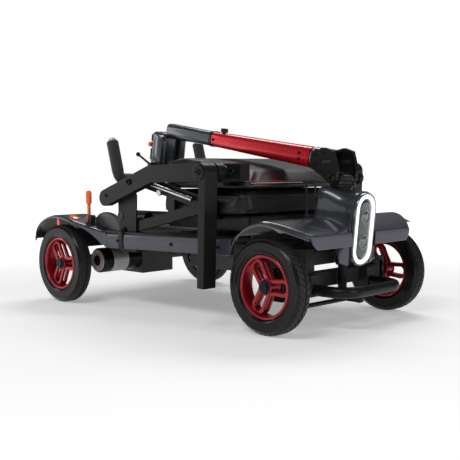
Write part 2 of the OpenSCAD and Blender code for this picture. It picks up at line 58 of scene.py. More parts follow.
tillerFrame = turned(366, 319, 9)
barFrame = tillerFrame @ Matrix.Translation((-0.592, 0, -0.097)) @ rotated(-25, "Y")
lampFrame = turned(415.4, 210, 6)

# camera, backdrop and light
studio = {
    "cameraAt": (1.4158, -1.4096, 0.3381),
    "heading": 134.992,
    "tilt": -4.297,
    "roll": -0.3125,
    "lens": 62.63,
    "floor": (0.86, 0.86, 0.86),
    "sky": 0.13,
    "skyColor": (0.95, 0.97, 1, 1),
    "floorGlow": {"From Min": 0.5, "From Max": 3.2, "To Min": 0.3, "To Max": 1.0},
    "lights": [  # place, aim, size, watts
        ((0.6, -2.3, 2.7), (0.0, 0, 0.2), (1.8, 0.7), 40),
        ((3.0, 0.2, 1.6), (0.3, 0, 0.2), (0.7, 1.5), 20),
        ((-0.9, 1.5, 2.5), (0.0, 0, 0.25), (2.2, 0.8), 36),
        ((-2.3, -1.6, 1.0), (-0.1, 0, 0.2), (0.6, 1.4), 12),
    ],
}
white = (1, 1, 1, 1)
midGrey = (0.5, 0.5, 0.5, 1)


# gives a node's inputs their values; a value that is a socket is linked
def feed(tree, made, inputs):
    for key, value in inputs.items():
        if isinstance(value, bpy.types.NodeSocket):
            tree.links.new(value, made.inputs[key])
        else:
            made.inputs[key].default_value = value


def node(tree, kind, inputs=None, **settings):
    made = tree.nodes.new(kind)
    for key, value in settings.items():
        setattr(made, key, value)
    feed(tree, made, inputs or {})
    return made


def makeStudio():
    yaw, pitch, roll = (math.radians(studio[k]) for k in ("heading", "tilt", "roll"))
    ahead = Vector((math.cos(yaw) * math.cos(pitch), math.sin(yaw) * math.cos(pitch), math.sin(pitch)))
    right = Vector((math.sin(yaw), -math.cos(yaw), 0))
    up = right.cross(ahead)
    right, up = right * math.cos(roll) + up * math.sin(roll), up * math.cos(roll) - right * math.sin(roll)
    camera = bpy.data.objects.new("camera", bpy.data.cameras.new("camera"))
    camera.data.lens = studio["lens"]
    camera.data.clip_end = 60
    turn = Matrix((right, up, -ahead)).transposed().to_4x4()
    camera.matrix_world = Matrix.Translation(studio["cameraAt"]) @ turn
    scene.collection.objects.link(camera)
    scene.camera = camera
    for i, (place, aim, size, watts) in enumerate(studio["lights"]):
        lamp = bpy.data.lights.new(f"softbox{i}", "AREA")
        lamp.shape, lamp.size, lamp.size_y, lamp.energy = "RECTANGLE", size[0], size[1], watts
        box = bpy.data.objects.new(f"softbox{i}", lamp)
        box.location = place
        box.rotation_euler = (Vector(aim) - Vector(place)).to_track_quat("-Z", "Y").to_euler()
        scene.collection.objects.link(box)
    world = bpy.data.worlds.new("studio")
    scene.world = world
    world.use_nodes = True
    tree = world.node_tree
    tree.nodes.clear()
    seen = node(tree, "ShaderNodeLightPath").outputs["Is Camera Ray"]
    sky = node(tree, "ShaderNodeBackground", {"Color": studio["skyColor"], "Strength": studio["sky"]})
    back = node(tree, "ShaderNodeBackground", {"Color": white})
    mix = node(tree, "ShaderNodeMixShader", {0: seen, 1: sky.outputs[0], 2: back.outputs[0]})
    node(tree, "ShaderNodeOutputWorld", {0: mix.outputs[0]})
    scene.view_settings.view_transform = "Standard"


makeStudio()
print("studio ready")


# shader groups: each takes a Vector, and hands on a colour with its mask, or a height
def group(name, inputs, outputs=("Color", "Mask")):
    tree = bpy.data.node_groups.new(name, "ShaderNodeTree")
    tree.interface.new_socket("Vector", in_out="INPUT", socket_type="NodeSocketVector")
    for label, value in inputs.items():
        kind = "NodeSocketColor" if isinstance(value, tuple) else "NodeSocketFloat"
        tree.interface.new_socket(label, in_out="INPUT", socket_type=kind).default_value = value
    for label in outputs:
        kind = "NodeSocketColor" if label == "Color" else "NodeSocketFloat"
        tree.interface.new_socket(label, in_out="OUTPUT", socket_type=kind)
    return tree, tree.nodes.new("NodeGroupInput").outputs, tree.nodes.new("NodeGroupOutput")


def math2(tree, op, a, b):
    return node(tree, "ShaderNodeMath", {0: a, 1: b}, operation=op).outputs[0]


def blendColor(tree, mode, factor, a, b):
    return node(tree, "ShaderNodeMix", {0: factor, 6: a, 7: b}, data_type="RGBA", blend_type=mode).outputs[2]


def noiseAt(tree, vector, scale, detail=3.0, rough=0.5):
    inputs = {"Vector": vector, "Scale": scale, "Detail": detail, "Roughness": rough}
    return node(tree, "ShaderNodeTexNoise", inputs).outputs["Fac"]


# patchy tone: darker and lighter areas of one colour, and the mask for roughness
def makeToneGroup():
    tree, given, out = group("patchyTone", {"Color": midGrey, "Amount": 0.2, "Scale": 12.0})
    big = noiseAt(tree, given["Vector"], given["Scale"], 4)
    small = noiseAt(tree, given["Vector"], math2(tree, "MULTIPLY", given["Scale"], 9), 5)
    both = math2(tree, "ADD", math2(tree, "MULTIPLY", big, 0.65), math2(tree, "MULTIPLY", small, 0.35))
    reach = math2(tree, "MULTIPLY", given["Amount"], 4)
    shade = math2(tree, "ADD", 1.0, math2(tree, "MULTIPLY", math2(tree, "SUBTRACT", both, 0.5), reach))
    grey = node(tree, "ShaderNodeCombineColor", {i: shade for i in range(3)})
    feed(tree, out, {"Color": blendColor(tree, "MULTIPLY", 1.0, given["Color"], grey.outputs[0]), "Mask": both})
    return tree


# rubbed edges: a lighter colour where the surface turns sharply
def makeWearGroup():
    tree, given, out = group("rubbedEdges", {"Color": midGrey, "Worn": (0.6, 0.6, 0.6, 1), "Amount": 0.3})
    turn = node(tree, "ShaderNodeNewGeometry").outputs["Pointiness"]
    ramp = node(tree, "ShaderNodeMapRange", {"Value": turn, "From Min": 0.53, "From Max": 0.62})
    broken = noiseAt(tree, given["Vector"], 160.0, 6, 0.65)
    edge = math2(tree, "MULTIPLY", ramp.outputs[0], math2(tree, "MULTIPLY", broken, given["Amount"]))
    feed(tree, out, {"Color": blendColor(tree, "MIX", edge, given["Color"], given["Worn"]), "Mask": edge})
    return tree


# fine grain: the height of moulded or powder-coated skin
def makeGrainGroup():
    tree, given, out = group("fineGrain", {"Scale": 900.0, "Pits": 0.5}, ("Height",))
    cells = node(tree, "ShaderNodeTexVoronoi", {"Vector": given["Vector"], "Scale": given["Scale"]})
    speck = noiseAt(tree, given["Vector"], given["Scale"], 3)
    pits = math2(tree, "MULTIPLY", cells.outputs["Distance"], given["Pits"])
    feed(tree, out, {"Height": math2(tree, "ADD", speck, pits)})
    return tree


# dust: a thin pale film in patches
def makeDustGroup():
    tree, given, out = group("dustFilm", {"Color": midGrey, "Dust": (0.42, 0.4, 0.37, 1), "Amount": 0.05})
    cloud = noiseAt(tree, given["Vector"], 7.0, 8, 0.7)
    patch = node(tree, "ShaderNodeMapRange", {"Value": cloud, "From Min": 0.42, "From Max": 0.75})
    film = math2(tree, "MULTIPLY", patch.outputs[0], given["Amount"])
    feed(tree, out, {"Color": blendColor(tree, "MIX", film, given["Color"], given["Dust"]), "Mask": film})
    return tree


toneGroup, wearGroup, grainGroup, dustGroup = makeToneGroup(), makeWearGroup(), makeGrainGroup(), makeDustGroup()
coatRough = 0.06
brushDepth = 0.00006


# one finish: colour, gloss, and how much of each effect it carries
def makeFinish(name, color, rough, metal=0.0, coat=0.0, tone=0.12, toneScale=12.0, grain=None, wear=0.0,
               dust=0.0, roughVary=0.12, brushed=None, sheen=0.0, glow=0.0, creases=0.0, specular=0.5):
    made = bpy.data.materials.new(name)
    made.use_nodes = True
    tree = made.node_tree
    place = node(tree, "ShaderNodeTexCoord").outputs["Object"]

    def effect(kind, **inputs):
        return node(tree, "ShaderNodeGroup", {"Vector": place, **inputs}, node_tree=kind).outputs

    tint = effect(toneGroup, Color=(*color, 1), Amount=tone, Scale=toneScale)
    found = tint["Color"]
    if wear:
        worn = (*[min(1, c * 3 + 0.05) for c in color], 1)
        found = effect(wearGroup, Color=found, Worn=worn, Amount=wear)["Color"]
    if dust:
        found = effect(dustGroup, Color=found, Amount=dust)["Color"]
    heights = []
    if grain:
        heights.append(math2(tree, "MULTIPLY", effect(grainGroup, Scale=grain[0])["Height"], grain[1]))
    if brushed:
        lay = node(tree, "ShaderNodeMapping", {"Vector": place, "Scale": brushed})
        heights.append(math2(tree, "MULTIPLY", noiseAt(tree, lay.outputs[0], 1.0, 6), brushDepth))
    if creases:
        heights.append(math2(tree, "MULTIPLY", noiseAt(tree, place, 22.0, 2, 0.4), creases))
    inputs = {
        "Base Color": found,
        "Roughness": math2(tree, "ADD", rough - roughVary / 2, math2(tree, "MULTIPLY", tint["Mask"], roughVary)),
        "Metallic": metal,
        "Coat Weight": coat,
        "Coat Roughness": coatRough,
        "Specular IOR Level": specular,
        "Sheen Weight": sheen,
    }
    if heights:
        height = heights[0]
        for more in heights[1:]:
            height = math2(tree, "ADD", height, more)
        bump = node(tree, "ShaderNodeBump", {"Height": height, "Strength": 1.0, "Distance": 1.0})
        inputs["Normal"] = bump.outputs[0]
    # glow: emission for the lamps; on the reflector finish this glow is painted light, as a reflector holds no lamp
    if glow:
        inputs.update({"Emission Color": (*color, 1), "Emission Strength": glow})
    feed(tree, tree.nodes["Principled BSDF"], inputs)
    return made


finishes = {
    "bodyPaint": dict(
        color=(0.05, 0.055, 0.068), rough=0.3, metal=0.55, coat=0.5, tone=0.05, toneScale=30.0,
        grain=(2600.0, 0.000012), wear=0.35, dust=0.02, roughVary=0.08
    ),
    "flapPaint": dict(
        color=(0.115, 0.11, 0.14), rough=0.46, metal=0.3, tone=0.05, toneScale=24.0, grain=(2600.0, 0.00002),
        wear=0.3, dust=0.02
    ),
    "skirtPaint": dict(
        color=(0.045, 0.05, 0.066), rough=0.4, metal=0.3, coat=0.15, tone=0.06, toneScale=16.0,
        grain=(2200.0, 0.00002), wear=0.3, dust=0.03
    ),
    "liner": dict(
        color=(0.1, 0.103, 0.075), rough=0.62, tone=0.16, toneScale=18.0, grain=(900.0, 0.00008), dust=0.06
    ),
    "powderBlack": dict(
        color=(0.0048, 0.0055, 0.005), rough=0.36, tone=0.12, grain=(1500.0, 0.00003), wear=0.2, dust=0.006,
        specular=0.2
    ),
    "frameBlack": dict(
        color=(0.01, 0.01, 0.011), rough=0.5, tone=0.2, grain=(1100.0, 0.00007), wear=0.2, dust=0.04, specular=0.3
    ),
    "moulded": dict(
        color=(0.011, 0.0118, 0.0125), rough=0.55, tone=0.12, grain=(1300.0, 0.00009), wear=0.15, dust=0.03,
        specular=0.3
    ),
    "vinyl": dict(
        color=(0.008, 0.008, 0.0082), rough=0.44, tone=0.1, grain=(1200.0, 0.00006), creases=0.0011, specular=0.36
    ),
    "piping": dict(color=(0.007, 0.007, 0.007), rough=0.42, tone=0.1, grain=(1600.0, 0.00006), specular=0.6),
    "redTube": dict(
        color=(0.58, 0.0035, 0.012), rough=0.27, metal=0.5, coat=0.5, tone=0.02, toneScale=30.0,
        grain=(2600.0, 0.000003), roughVary=0.04
    ),
    "redRim": dict(
        color=(0.33, 0.008, 0.02), rough=0.3, metal=0.62, coat=0.3, tone=0.1, toneScale=30.0, grain=(1900.0, 0.00003),
        wear=0.3, dust=0.02
    ),
    "sidewall": dict(
        color=(0.0065, 0.0068, 0.006), rough=0.26, tone=0.18, toneScale=20.0, grain=(1400.0, 0.00003), dust=0.006,
        roughVary=0.16, specular=0.22
    ),
    "tread": dict(
        color=(0.008, 0.008, 0.008), rough=0.5, tone=0.22, toneScale=34.0, grain=(1000.0, 0.00012), dust=0.04,
        specular=0.3
    ),
    "foam": dict(color=(0.013, 0.013, 0.013), rough=0.7, tone=0.2, toneScale=60.0, grain=(700.0, 0.0003), sheen=0.2),
    "steel": dict(
        color=(0.62, 0.62, 0.63), rough=0.24, metal=1.0, tone=0.08, brushed=(40, 1500, 1500), roughVary=0.14
    ),
    "zinc": dict(color=(0.42, 0.42, 0.43), rough=0.34, metal=1.0, tone=0.14, toneScale=60.0, grain=(1200.0, 0.00004)),
    "collar": dict(color=(0.3, 0.3, 0.31), rough=0.34, metal=0.9, tone=0.1, grain=(1300.0, 0.00005), wear=0.3),
    "castGrey": dict(
        color=(0.035, 0.035, 0.036), rough=0.5, metal=0.5, tone=0.16, grain=(900.0, 0.00012), wear=0.3, dust=0.04
    ),
    "boltBlack": dict(
        color=(0.014, 0.014, 0.015), rough=0.3, metal=0.7, tone=0.16, toneScale=80.0, grain=(1600.0, 0.00003),
        wear=0.5, specular=0.3
    ),
    "orange": dict(color=(0.92, 0.16, 0.012), rough=0.38, tone=0.06, toneScale=50.0, grain=(1800.0, 0.00004)),
    "tailLamp": dict(color=(0.85, 0.2, 0.02), rough=0.12, coat=0.6, tone=0.25, toneScale=140.0, glow=0.12),
    # reflector: its faint glow is painted light, an emission standing in for the light the red reflectors give back
    "reflector": dict(color=(0.75, 0.01, 0.02), rough=0.16, coat=0.6, tone=0.2, toneScale=220.0, glow=0.12),
    "ledRing": dict(color=(0.97, 0.98, 1.0), rough=0.3, tone=0.015, glow=0.8),
    "lampLens": dict(color=(0.028, 0.031, 0.032), rough=0.12, coat=0.8, tone=0.06, toneScale=20.0),
    "lampDome": dict(color=(0.16, 0.17, 0.17), rough=0.16, metal=0.8, coat=0.8, tone=0.1, toneScale=120.0),
    "rubber": dict(
        color=(0.012, 0.012, 0.012), rough=0.45, tone=0.14, toneScale=40.0, grain=(1300.0, 0.00006), specular=0.3
    ),
    "redThread": dict(color=(0.6, 0.012, 0.03), rough=0.5, tone=0.14, toneScale=200.0, grain=(1800.0, 0.00006)),
    "whiteThread": dict(color=(0.72, 0.72, 0.7), rough=0.5, tone=0.1, toneScale=200.0, grain=(1800.0, 0.00006)),
    "motorSilver": dict(
        color=(0.5, 0.5, 0.49), rough=0.42, metal=0.75, tone=0.1, toneScale=40.0, grain=(1300.0, 0.00004)
    ),
    "humpGrey": dict(
        color=(0.045, 0.045, 0.046), rough=0.42, tone=0.12, grain=(1100.0, 0.00008), wear=0.2, dust=0.03
    ),
    "batteryCase": dict(color=(0.022, 0.023, 0.026), rough=0.45, tone=0.12, grain=(1300.0, 0.00008), dust=0.04),
    "floor": dict(color=studio["floor"], rough=0.6, tone=0.01, toneScale=2.0, grain=(300.0, 0.00005)),
}
paint = {name: makeFinish(name, **values) for name, values in finishes.items()}
print("finishes ready:", len(paint))


def newObject(name, mesh):
    made = bpy.data.objects.new(name, mesh)
    scene.collection.objects.link(made)
    return made


def meshFrom(bm, name):
    mesh = bpy.data.meshes.new(name)
    bm.to_mesh(mesh)
    bm.free()
    return mesh


# the plain mesh of an object as its modifiers leave it; the object itself is dropped
def settled(host):
    bpy.context.view_layer.update()
    made = bpy.data.meshes.new_from_object(host.evaluated_get(bpy.context.evaluated_depsgraph_get()))
    bpy.data.objects.remove(host)
    return made


def keep(name, mesh, material, body=None, stands=(), angle=32.0, matrix=None, weighted=False):
    if isinstance(mesh, bmesh.types.BMesh):
        mesh = meshFrom(mesh, name)
    if matrix is not None:
        mesh.transform(matrix)
    if len(mesh.materials) == 0:
        for m in material if isinstance(material, list) else [material]:
            mesh.materials.append(paint[m])
    for f in mesh.polygons:
        f.use_smooth = True
    mesh.set_sharp_from_angle(angle=math.radians(angle))
    made = newObject(name, mesh)
    if weighted:
        made.modifiers.new("weighted", "WEIGHTED_NORMAL").keep_sharp = True
    if body:
        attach(made, body)
    if stands:
        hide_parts(*stands)
    return made


def bevelled(bm, edges, width, segments):
    bmesh.ops.bevel(bm, geom=edges, offset=width, segments=segments, profile=0.5, affect="EDGES", clamp_overlap=True)


def sharpEdges(bm, turn):
    return [e for e in bm.edges if len(e.link_faces) == 2 and e.calc_face_angle(0) > turn]


mergeNear = 4e-6
flatWithin = math.radians(1.5)


# a worked copy of a frame part: merged, its edges eased, and finished
def eased(nodeName, material, width):
    bm = bmesh.new()
    bm.from_mesh(frame["nodes"][nodeName].data)
    bmesh.ops.remove_doubles(bm, verts=bm.verts, dist=mergeNear)
    bmesh.ops.dissolve_degenerate(bm, dist=1e-6, edges=bm.edges)
    bmesh.ops.dissolve_limit(bm, angle_limit=flatWithin, verts=bm.verts, edges=bm.edges)
    bevelled(bm, sharpEdges(bm, math.radians(30)), width / 1000, 2)
    bmesh.ops.triangulate(bm, faces=[f for f in bm.faces if len(f.verts) > 4])
    return keep(nodeName + "Part", bm, material, bodyOf[nodeName], [nodeName], weighted=True)


# an outline of (radius, height) pairs turned about Z
def lathe(profile, steps=64):
    bm = bmesh.new()
    rings = []
    for i in range(steps):
        a = math.tau * i / steps
        rings.append([bm.verts.new((r / 1000 * math.cos(a), r / 1000 * math.sin(a), z / 1000)) for r, z in profile])
    n = len(profile)
    for i in range(steps):
        a, b = rings[i], rings[(i + 1) % steps]
        for k in range(n):
            j = (k + 1) % n
            bm.faces.new((a[k], b[k], b[j], a[j]))
    bmesh.ops.remove_doubles(bm, verts=bm.verts, dist=1e-6)
    bmesh.ops.recalc_face_normals(bm, faces=bm.faces)
    return bm


def smoothPath(points, each):
    p = [Vector(q) for q in points]
    n = len(p)
    made = []
    for i in range(n - 1):
        a, b = p[i], p[i + 1]
        before = p[i - 1] if i else a * 2 - b
        after = p[i + 2] if i + 2 < n else b * 2 - a
        for k in range(each):
            t = k / each
            square = (2 * before - 5 * a + 4 * b - after) * t * t
            made.append(0.5 * ((2 * a) + (b - before) * t + square + (3 * a - before - 3 * b + after) * t ** 3))
    made.append(p[-1].copy())
    return made


# the same, for a line of (x, z) pairs
def smoothLine(pairs, each):
    return smoothPath([Vector((x, 0, z)) for x, z in pairs], each)


# faces between neighbouring rings of points, or rows of them
def skin(bm, rings, wrap=True):
    for a, b in zip(rings, rings[1:]):
        for k in range(len(a) if wrap else len(a) - 1):
            j = (k + 1) % len(a)
            bm.faces.new((a[k], a[j], b[j], b[k]))


def capped(bm, first, last):
    bm.faces.new(first)
    bm.faces.new(list(reversed(last)))
    bmesh.ops.recalc_face_normals(bm, faces=bm.faces)


# a section carried along a path, with flat ends unless the path is closed
def sweep(path, section, closed=False, up=Vector((0, 0, 1)), scales=None):
    bm = bmesh.new()
    n = len(path)
    rings = []
    side = None
    for i, p in enumerate(path):
        a = path[i - 1] if closed or i else p
        b = path[(i + 1) % n] if closed or i + 1 < n else p
        t = (b - a).normalized()
        if side is None:
            side = t.cross(up)
            if side.length < 1e-4:
                side = t.cross(Vector((1, 0, 0)))
        side = (side - t * side.dot(t)).normalized()
        top = side.cross(t)
        s = scales[i] if scales else 1.0
        rings.append([bm.verts.new(p + side * x * s + top * y * s) for x, y in section])
    skin(bm, rings + rings[:1] if closed else rings)
    if closed:
        bmesh.ops.recalc_face_normals(bm, faces=bm.faces)
    else:
        capped(bm, rings[0], rings[-1])
    return bm


def roundSection(r, n=16):
    return [(r / 1000 * math.cos(math.tau * i / n), r / 1000 * math.sin(math.tau * i / n)) for i in range(n)]


def squareSection(w, h, power, n):
    made = []
    for i in range(n):
        c, s = math.cos(math.tau * i / n), math.sin(math.tau * i / n)
        x, y = (math.copysign(abs(v) ** (2 / power), v) for v in (c, s))
        made.append((x * w / 2000, y * h / 2000))
    return made


def plain(v):
    return Matrix.Translation(v)


def alongY(x, y, z, sign=-1):  # puts a turned piece's +Z along the scooter's width
    return plain(at(x, y, z)) @ rotated(-90 * sign, "X")


# several meshes in one, each as it is or given with its place
def joined(parts):
    bm = bmesh.new()
    for p in parts:
        if isinstance(p, tuple):
            p, place = p
            bmesh.ops.transform(p, matrix=place, verts=p.verts)
        mesh = meshFrom(p, "join")
        bm.from_mesh(mesh)
        bpy.data.meshes.remove(mesh)
    return bm


# geometry node trees: each starts from a mesh and ends in copies of one piece
def geometryTree(name, **kinds):
    tree = bpy.data.node_groups.new(name, "GeometryNodeTree")
    for label, kind in {"Geometry": "Geometry", **kinds, "Material": "Material"}.items():
        tree.interface.new_socket(label, in_out="INPUT", socket_type="NodeSocket" + kind)
    tree.interface.new_socket("Geometry", in_out="OUTPUT", socket_type="NodeSocketGeometry")
    return tree, tree.nodes.new("NodeGroupInput").outputs


def closeTree(tree, given, points, instance, rotation, **more):
    inputs = {"Points": points, "Instance": instance, "Rotation": rotation, **more}
    put = node(tree, "GeometryNodeInstanceOnPoints", inputs)
    real = node(tree, "GeometryNodeRealizeInstances", {0: put.outputs[0]})
    cover = node(tree, "GeometryNodeSetMaterial", {"Geometry": real.outputs[0], "Material": given["Material"]})
    node(tree, "NodeGroupOutput", {0: cover.outputs[0]})


# one piece repeated round a circle
ringTree, given = geometryTree("ringOfPieces", Count="Int", Radius="Float")
circle = node(ringTree, "GeometryNodeMeshCircle", {"Vertices": given["Count"], "Radius": given["Radius"]})
index = node(ringTree, "GeometryNodeInputIndex").outputs[0]
turn = math2(ringTree, "MULTIPLY", index, math2(ringTree, "DIVIDE", math.tau, given["Count"]))
spin = node(ringTree, "ShaderNodeCombineXYZ", {"Z": turn})
closeTree(ringTree, given, circle.outputs[0], given["Geometry"], spin.outputs[0])

# heads set on marked points, each turned to its own direction
headTree, given = geometryTree("headsOnPoints", Head="Object")
info = node(headTree, "GeometryNodeObjectInfo", {"Object": given["Head"]})
aim = node(headTree, "GeometryNodeInputNamedAttribute", {"Name": "aim"}, data_type="FLOAT_VECTOR")
size = node(headTree, "GeometryNodeInputNamedAttribute", {"Name": "size"}, data_type="FLOAT")
align = node(headTree, "FunctionNodeAlignRotationToVector", {"Vector": aim.outputs["Attribute"]}, axis="Z")
heads = info.outputs["Geometry"]
closeTree(headTree, given, given["Geometry"], heads, align.outputs[0], Scale=size.outputs["Attribute"])

# short stitches along a path
stitchTree, given = geometryTree("stitchesAlongPath", Spacing="Float", Stitch="Object")
curve = node(stitchTree, "GeometryNodeMeshToCurve", {0: given["Geometry"]})
inputs = {"Curve": curve.outputs[0], "Length": given["Spacing"]}
even = node(stitchTree, "GeometryNodeResampleCurve", inputs, mode="LENGTH")
info = node(stitchTree, "GeometryNodeObjectInfo", {"Object": given["Stitch"]})
tangent = node(stitchTree, "GeometryNodeInputTangent").outputs[0]
align = node(stitchTree, "FunctionNodeAlignRotationToVector", {"Vector": tangent}, axis="X")
closeTree(stitchTree, given, even.outputs[0], info.outputs["Geometry"], align.outputs[0])


# runs a tree on a mesh and gives back the plain mesh
def grown(tree, mesh, **inputs):
    host = newObject("host", mesh)
    mod = host.modifiers.new("grow", "NODES")
    mod.node_group = tree
    for item in tree.interface.items_tree:
        if item.in_out == "INPUT" and item.name in inputs:
            mod[item.identifier] = inputs[item.name]
    return settled(host)


def ringOf(bm, count, radius, material, matrix):
    mesh = meshFrom(bm, "one")
    made = grown(ringTree, mesh, Count=count, Radius=radius / 1000, Material=paint[material])
    made.transform(matrix)
    return made


# a mesh of a small sample piece, grown by one of the trees
def grownFrom(tree, bm, mesh, key, material, **inputs):
    sample = newObject(key, meshFrom(bm, key))
    made = grown(tree, mesh, Material=paint[material], **{key: sample}, **inputs)
    bpy.data.objects.remove(sample)
    return made


def block(x0, y0, z0, x1, y1, z1, ease, segments=2):
    bm = bmesh.new()
    bmesh.ops.create_cube(bm, size=1)
    spans = ((x0, x1), (y0, y1), (z0, z1))
    for v in bm.verts:
        v.co = Vector([span[c > 0] / 1000 for span, c in zip(spans, v.co)])
    bevelled(bm, bm.edges[:], ease / 1000, segments)
    return bm


print("trees ready")

# wheels: mm, and degrees for the first spoke
wheel = {
    "outer": 100.0, "half": 19.7, "rimEdge": 66.7, "lugs": 46, "lugRise": 1.5, "lugSlant": 0.03,
    "spokeWidth": 8.4, "spokeDepth": 7.4, "spokeTurn": 272, "spokeLayers": (-7.5, 5.5), "shaftFit": 0.955,
}
wheels = {
    "frontRight": ("front_right", 337.75, -209.5),
    "frontLeft": ("front_left", 337.75, 209.5),
    "rearRight": ("rear_right", -337.75, -252.5),
    "rearLeft": ("rear_left", -337.75, 252.5),
}
# a lug's corners: across the tread, round it, and the drop below the crown
lugCorners = [(1.6, 0.0, 0), (10.6, 6.5, 0), (14.6, 12.2, -2.4), (14.6, 22.2, -2.4), (10.6, 17.6, 0), (1.6, 11.0, 0)]
lugFoot = -2.2
rimOutline = [
    (66.3, -15.6), (66.4, 15.8), (65.6, 16.6), (63.6, 17.0), (61.4, 16.4), (60.2, 14.6), (59.2, 10.5), (58.4, 4),
    (58.2, -6), (59.4, -13), (61.0, -16.2), (63.4, -16.9), (65.6, -16.5)
]
hubOutline = [
    (8.1, -18.6), (15, -18.6), (17, -17), (17.4, -12), (14.5, -10), (14.5, 8), (17.6, 10.2), (17.4, 11.2),
    (15.6, 11.9), (8.1, 11.9)
]
capOutline = [(0.01, 12.0), (15, 12.0), (15.2, 13.2), (14.4, 14.6), (11.6, 15.0), (0.01, 15.0)]
nutOutline = [(0.01, 14.8), (11, 14.8), (11, 17.6), (10, 18.7), (6.4, 18.9), (6, 18.2), (0.01, 18.0)]


# slanted tread lugs down one side of the centre groove
def lugRow(flip):
    lug = bmesh.new()
    outer = wheel["outer"]
    pitch = math.tau * outer / wheel["lugs"]
    top, low = [], []
    for w, a, drop in lugCorners:
        turn = (a - 9) / outer * (pitch / 13.6)
        for ring, rise in ((top, 0.0), (low, lugFoot)):
            r = (outer + rise + drop) / 1000
            ring.append(lug.verts.new((r * math.cos(turn) - outer / 1000, r * math.sin(turn), flip * w / 1000)))
    lug.faces.new(top)
    lug.faces.new(list(reversed(low)))
    for k in range(6):
        j = (k + 1) % 6
        lug.faces.new((top[k], low[k], low[j], top[j]))
    bmesh.ops.recalc_face_normals(lug, faces=lug.faces)
    return ringOf(lug, wheel["lugs"], outer, "tread", Matrix.Rotation(flip * wheel["lugSlant"], 4, "Z"))


def makeWheel(label, cad, x, y):
    place = alongY(x, y, 100, -1 if y < 0 else 1)
    body = bodyOf[cad + "_tyre"]
    r, h, e = wheel["outer"] - wheel["lugRise"], wheel["half"], wheel["rimEdge"]
    outline = [
        (e + 0.6, -h + 4), (e + 1.8, -h + 2.2), (e + 4, -h + 1.4), (e + 5.2, -h + 0.6), (e + 6.4, -h + 1.2),
        (80, -h + 0.2), (86, -h), (90, -h + 0.5), (91, -h + 0.1), (92, -h + 1.0), (95, -h + 3.4), (97.3, -h + 6.6),
        (r, -h + 9.5), (r, -4), (r, -1.2), (r - 1.1, -0.7), (r - 1.1, 0)
    ]
    bm = lathe(outline + [(a, -b) for a, b in reversed(outline[:-1])], 128)
    for f in bm.faces:
        f.material_index = 1 if all(math.hypot(v.co.x, v.co.y) > (r - 1.8) / 1000 for v in f.verts) else 0
    for flip in sides:
        first = len(bm.faces)
        bm.from_mesh(lugRow(flip))
        bm.faces.ensure_lookup_table()
        for f in bm.faces[first:]:
            f.material_index = 1
    keep(label + "Tyre", bm, ["sidewall", "tread"], body, [cad + "_tyre"], matrix=place, angle=40)
    # deep rim with three looped spokes in two layers
    arm = [(12.2, 9), (12.4, 24), (13.2, 38), (14.2, 46)]
    bend = [(-14.2 * math.cos(math.pi * k / 12), 46 + 14.4 * math.sin(math.pi * k / 12)) for k in range(1, 12)]
    run = [(-a, b) for a, b in arm] + bend + arm[::-1]
    loop = [Vector((a / 1000, b / 1000, 0)) for a, b in run]
    pieces = [lathe(rimOutline, 128)]
    for z in wheel["spokeLayers"]:
        for turn in range(0, 360, 120):
            bm = sweep(loop, squareSection(wheel["spokeWidth"], wheel["spokeDepth"], 5, 20))
            pieces.append((bm, rotated(wheel["spokeTurn"] + turn, "Z") @ plain((0, 0, z / 1000))))
    pieces.append(lathe(hubOutline, 64))
    keep(label + "Rim", joined(pieces), "redRim", body, [cad + "_rim"], matrix=place, angle=38)
    ends = [lathe(capOutline, 48), lathe(nutOutline, 6)]
    keep(label + "Cap", joined(ends), "boltBlack", body, [cad + "_cap"], matrix=place)


for label, (cad, x, y) in wheels.items():
    makeWheel(label, cad, x, y)
axle = at(-337.75, 0, 100)
for shaft in ("rear_right_shaft", "rear_left_shaft"):  # a running fit in the gearbox
    for v in eased(shaft, "zinc", 0.5).data.vertices:
        v.co.x, v.co.z = (a + (c - a) * wheel["shaftFit"] for a, c in ((axle.x, v.co.x), (axle.z, v.co.z)))
print("wheels ready")


# body shell: rows of points made into a sheet
def grid(rows):
    bm = bmesh.new()
    skin(bm, [[bm.verts.new(p) for p in row] for row in rows], wrap=False)
    bmesh.ops.remove_doubles(bm, verts=bm.verts, dist=1e-5)
    return bm


def sided(name, side):
    return name + ("Right" if side < 0 else "Left")


# a sheet given its wall on the inside, and eased edges
def walled(name, bm, material, body, stands, thick, ease, angle=40):
    bmesh.ops.recalc_face_normals(bm, faces=bm.faces)
    bm.normal_update()
    if sum(f.calc_area() * f.normal.z for f in bm.faces) < 0:
        bmesh.ops.reverse_faces(bm, faces=bm.faces)
    made = keep(name, bm, material, angle=angle)
    wall = made.modifiers.new("wall", "SOLIDIFY")
    wall.thickness, wall.offset, wall.use_even_offset = thick / 1000, -1, True
    soft = made.modifiers.new("ease", "BEVEL")
    soft.width, soft.segments, soft.limit_method, soft.angle_limit = ease / 1000, 2, "ANGLE", math.radians(50)
    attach(made, body)
    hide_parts(*stands)


nose = {
    "rearTop": 331.0, "rearLow": 309.0, "frontTop": 424.0, "frontLow": 409.5, "halfRear": 50.0, "halfFront": 38.5,
    "topRear": 304.0, "topFront": 291.5, "flare": 15.0, "wall": 3.0
}


def noseHalf(t):  # half width along the nose: broad at the back, waisted, and full again at the lamp
    return nose["halfRear"] + (nose["halfFront"] - nose["halfRear"]) * min(1, t * 1.25) ** 0.8 - 2.2 * math.sin(
        math.pi * min(1, max(0, (t - 0.35) / 0.65))
    )


def noseTop(t):  # raised at the back, then a saddle down to the lamp
    s = min(1, max(0, (t - 0.16) / 0.5))
    return nose["topRear"] - (nose["topRear"] - nose["topFront"]) * (s * s * (3 - 2 * s))


def noseX(t, z):
    low = nose["rearLow"] + (nose["frontLow"] - nose["rearLow"]) * t
    top = nose["rearTop"] + (nose["frontTop"] - nose["rearTop"]) * t
    return low + (top - low) * (z - 132) / 160


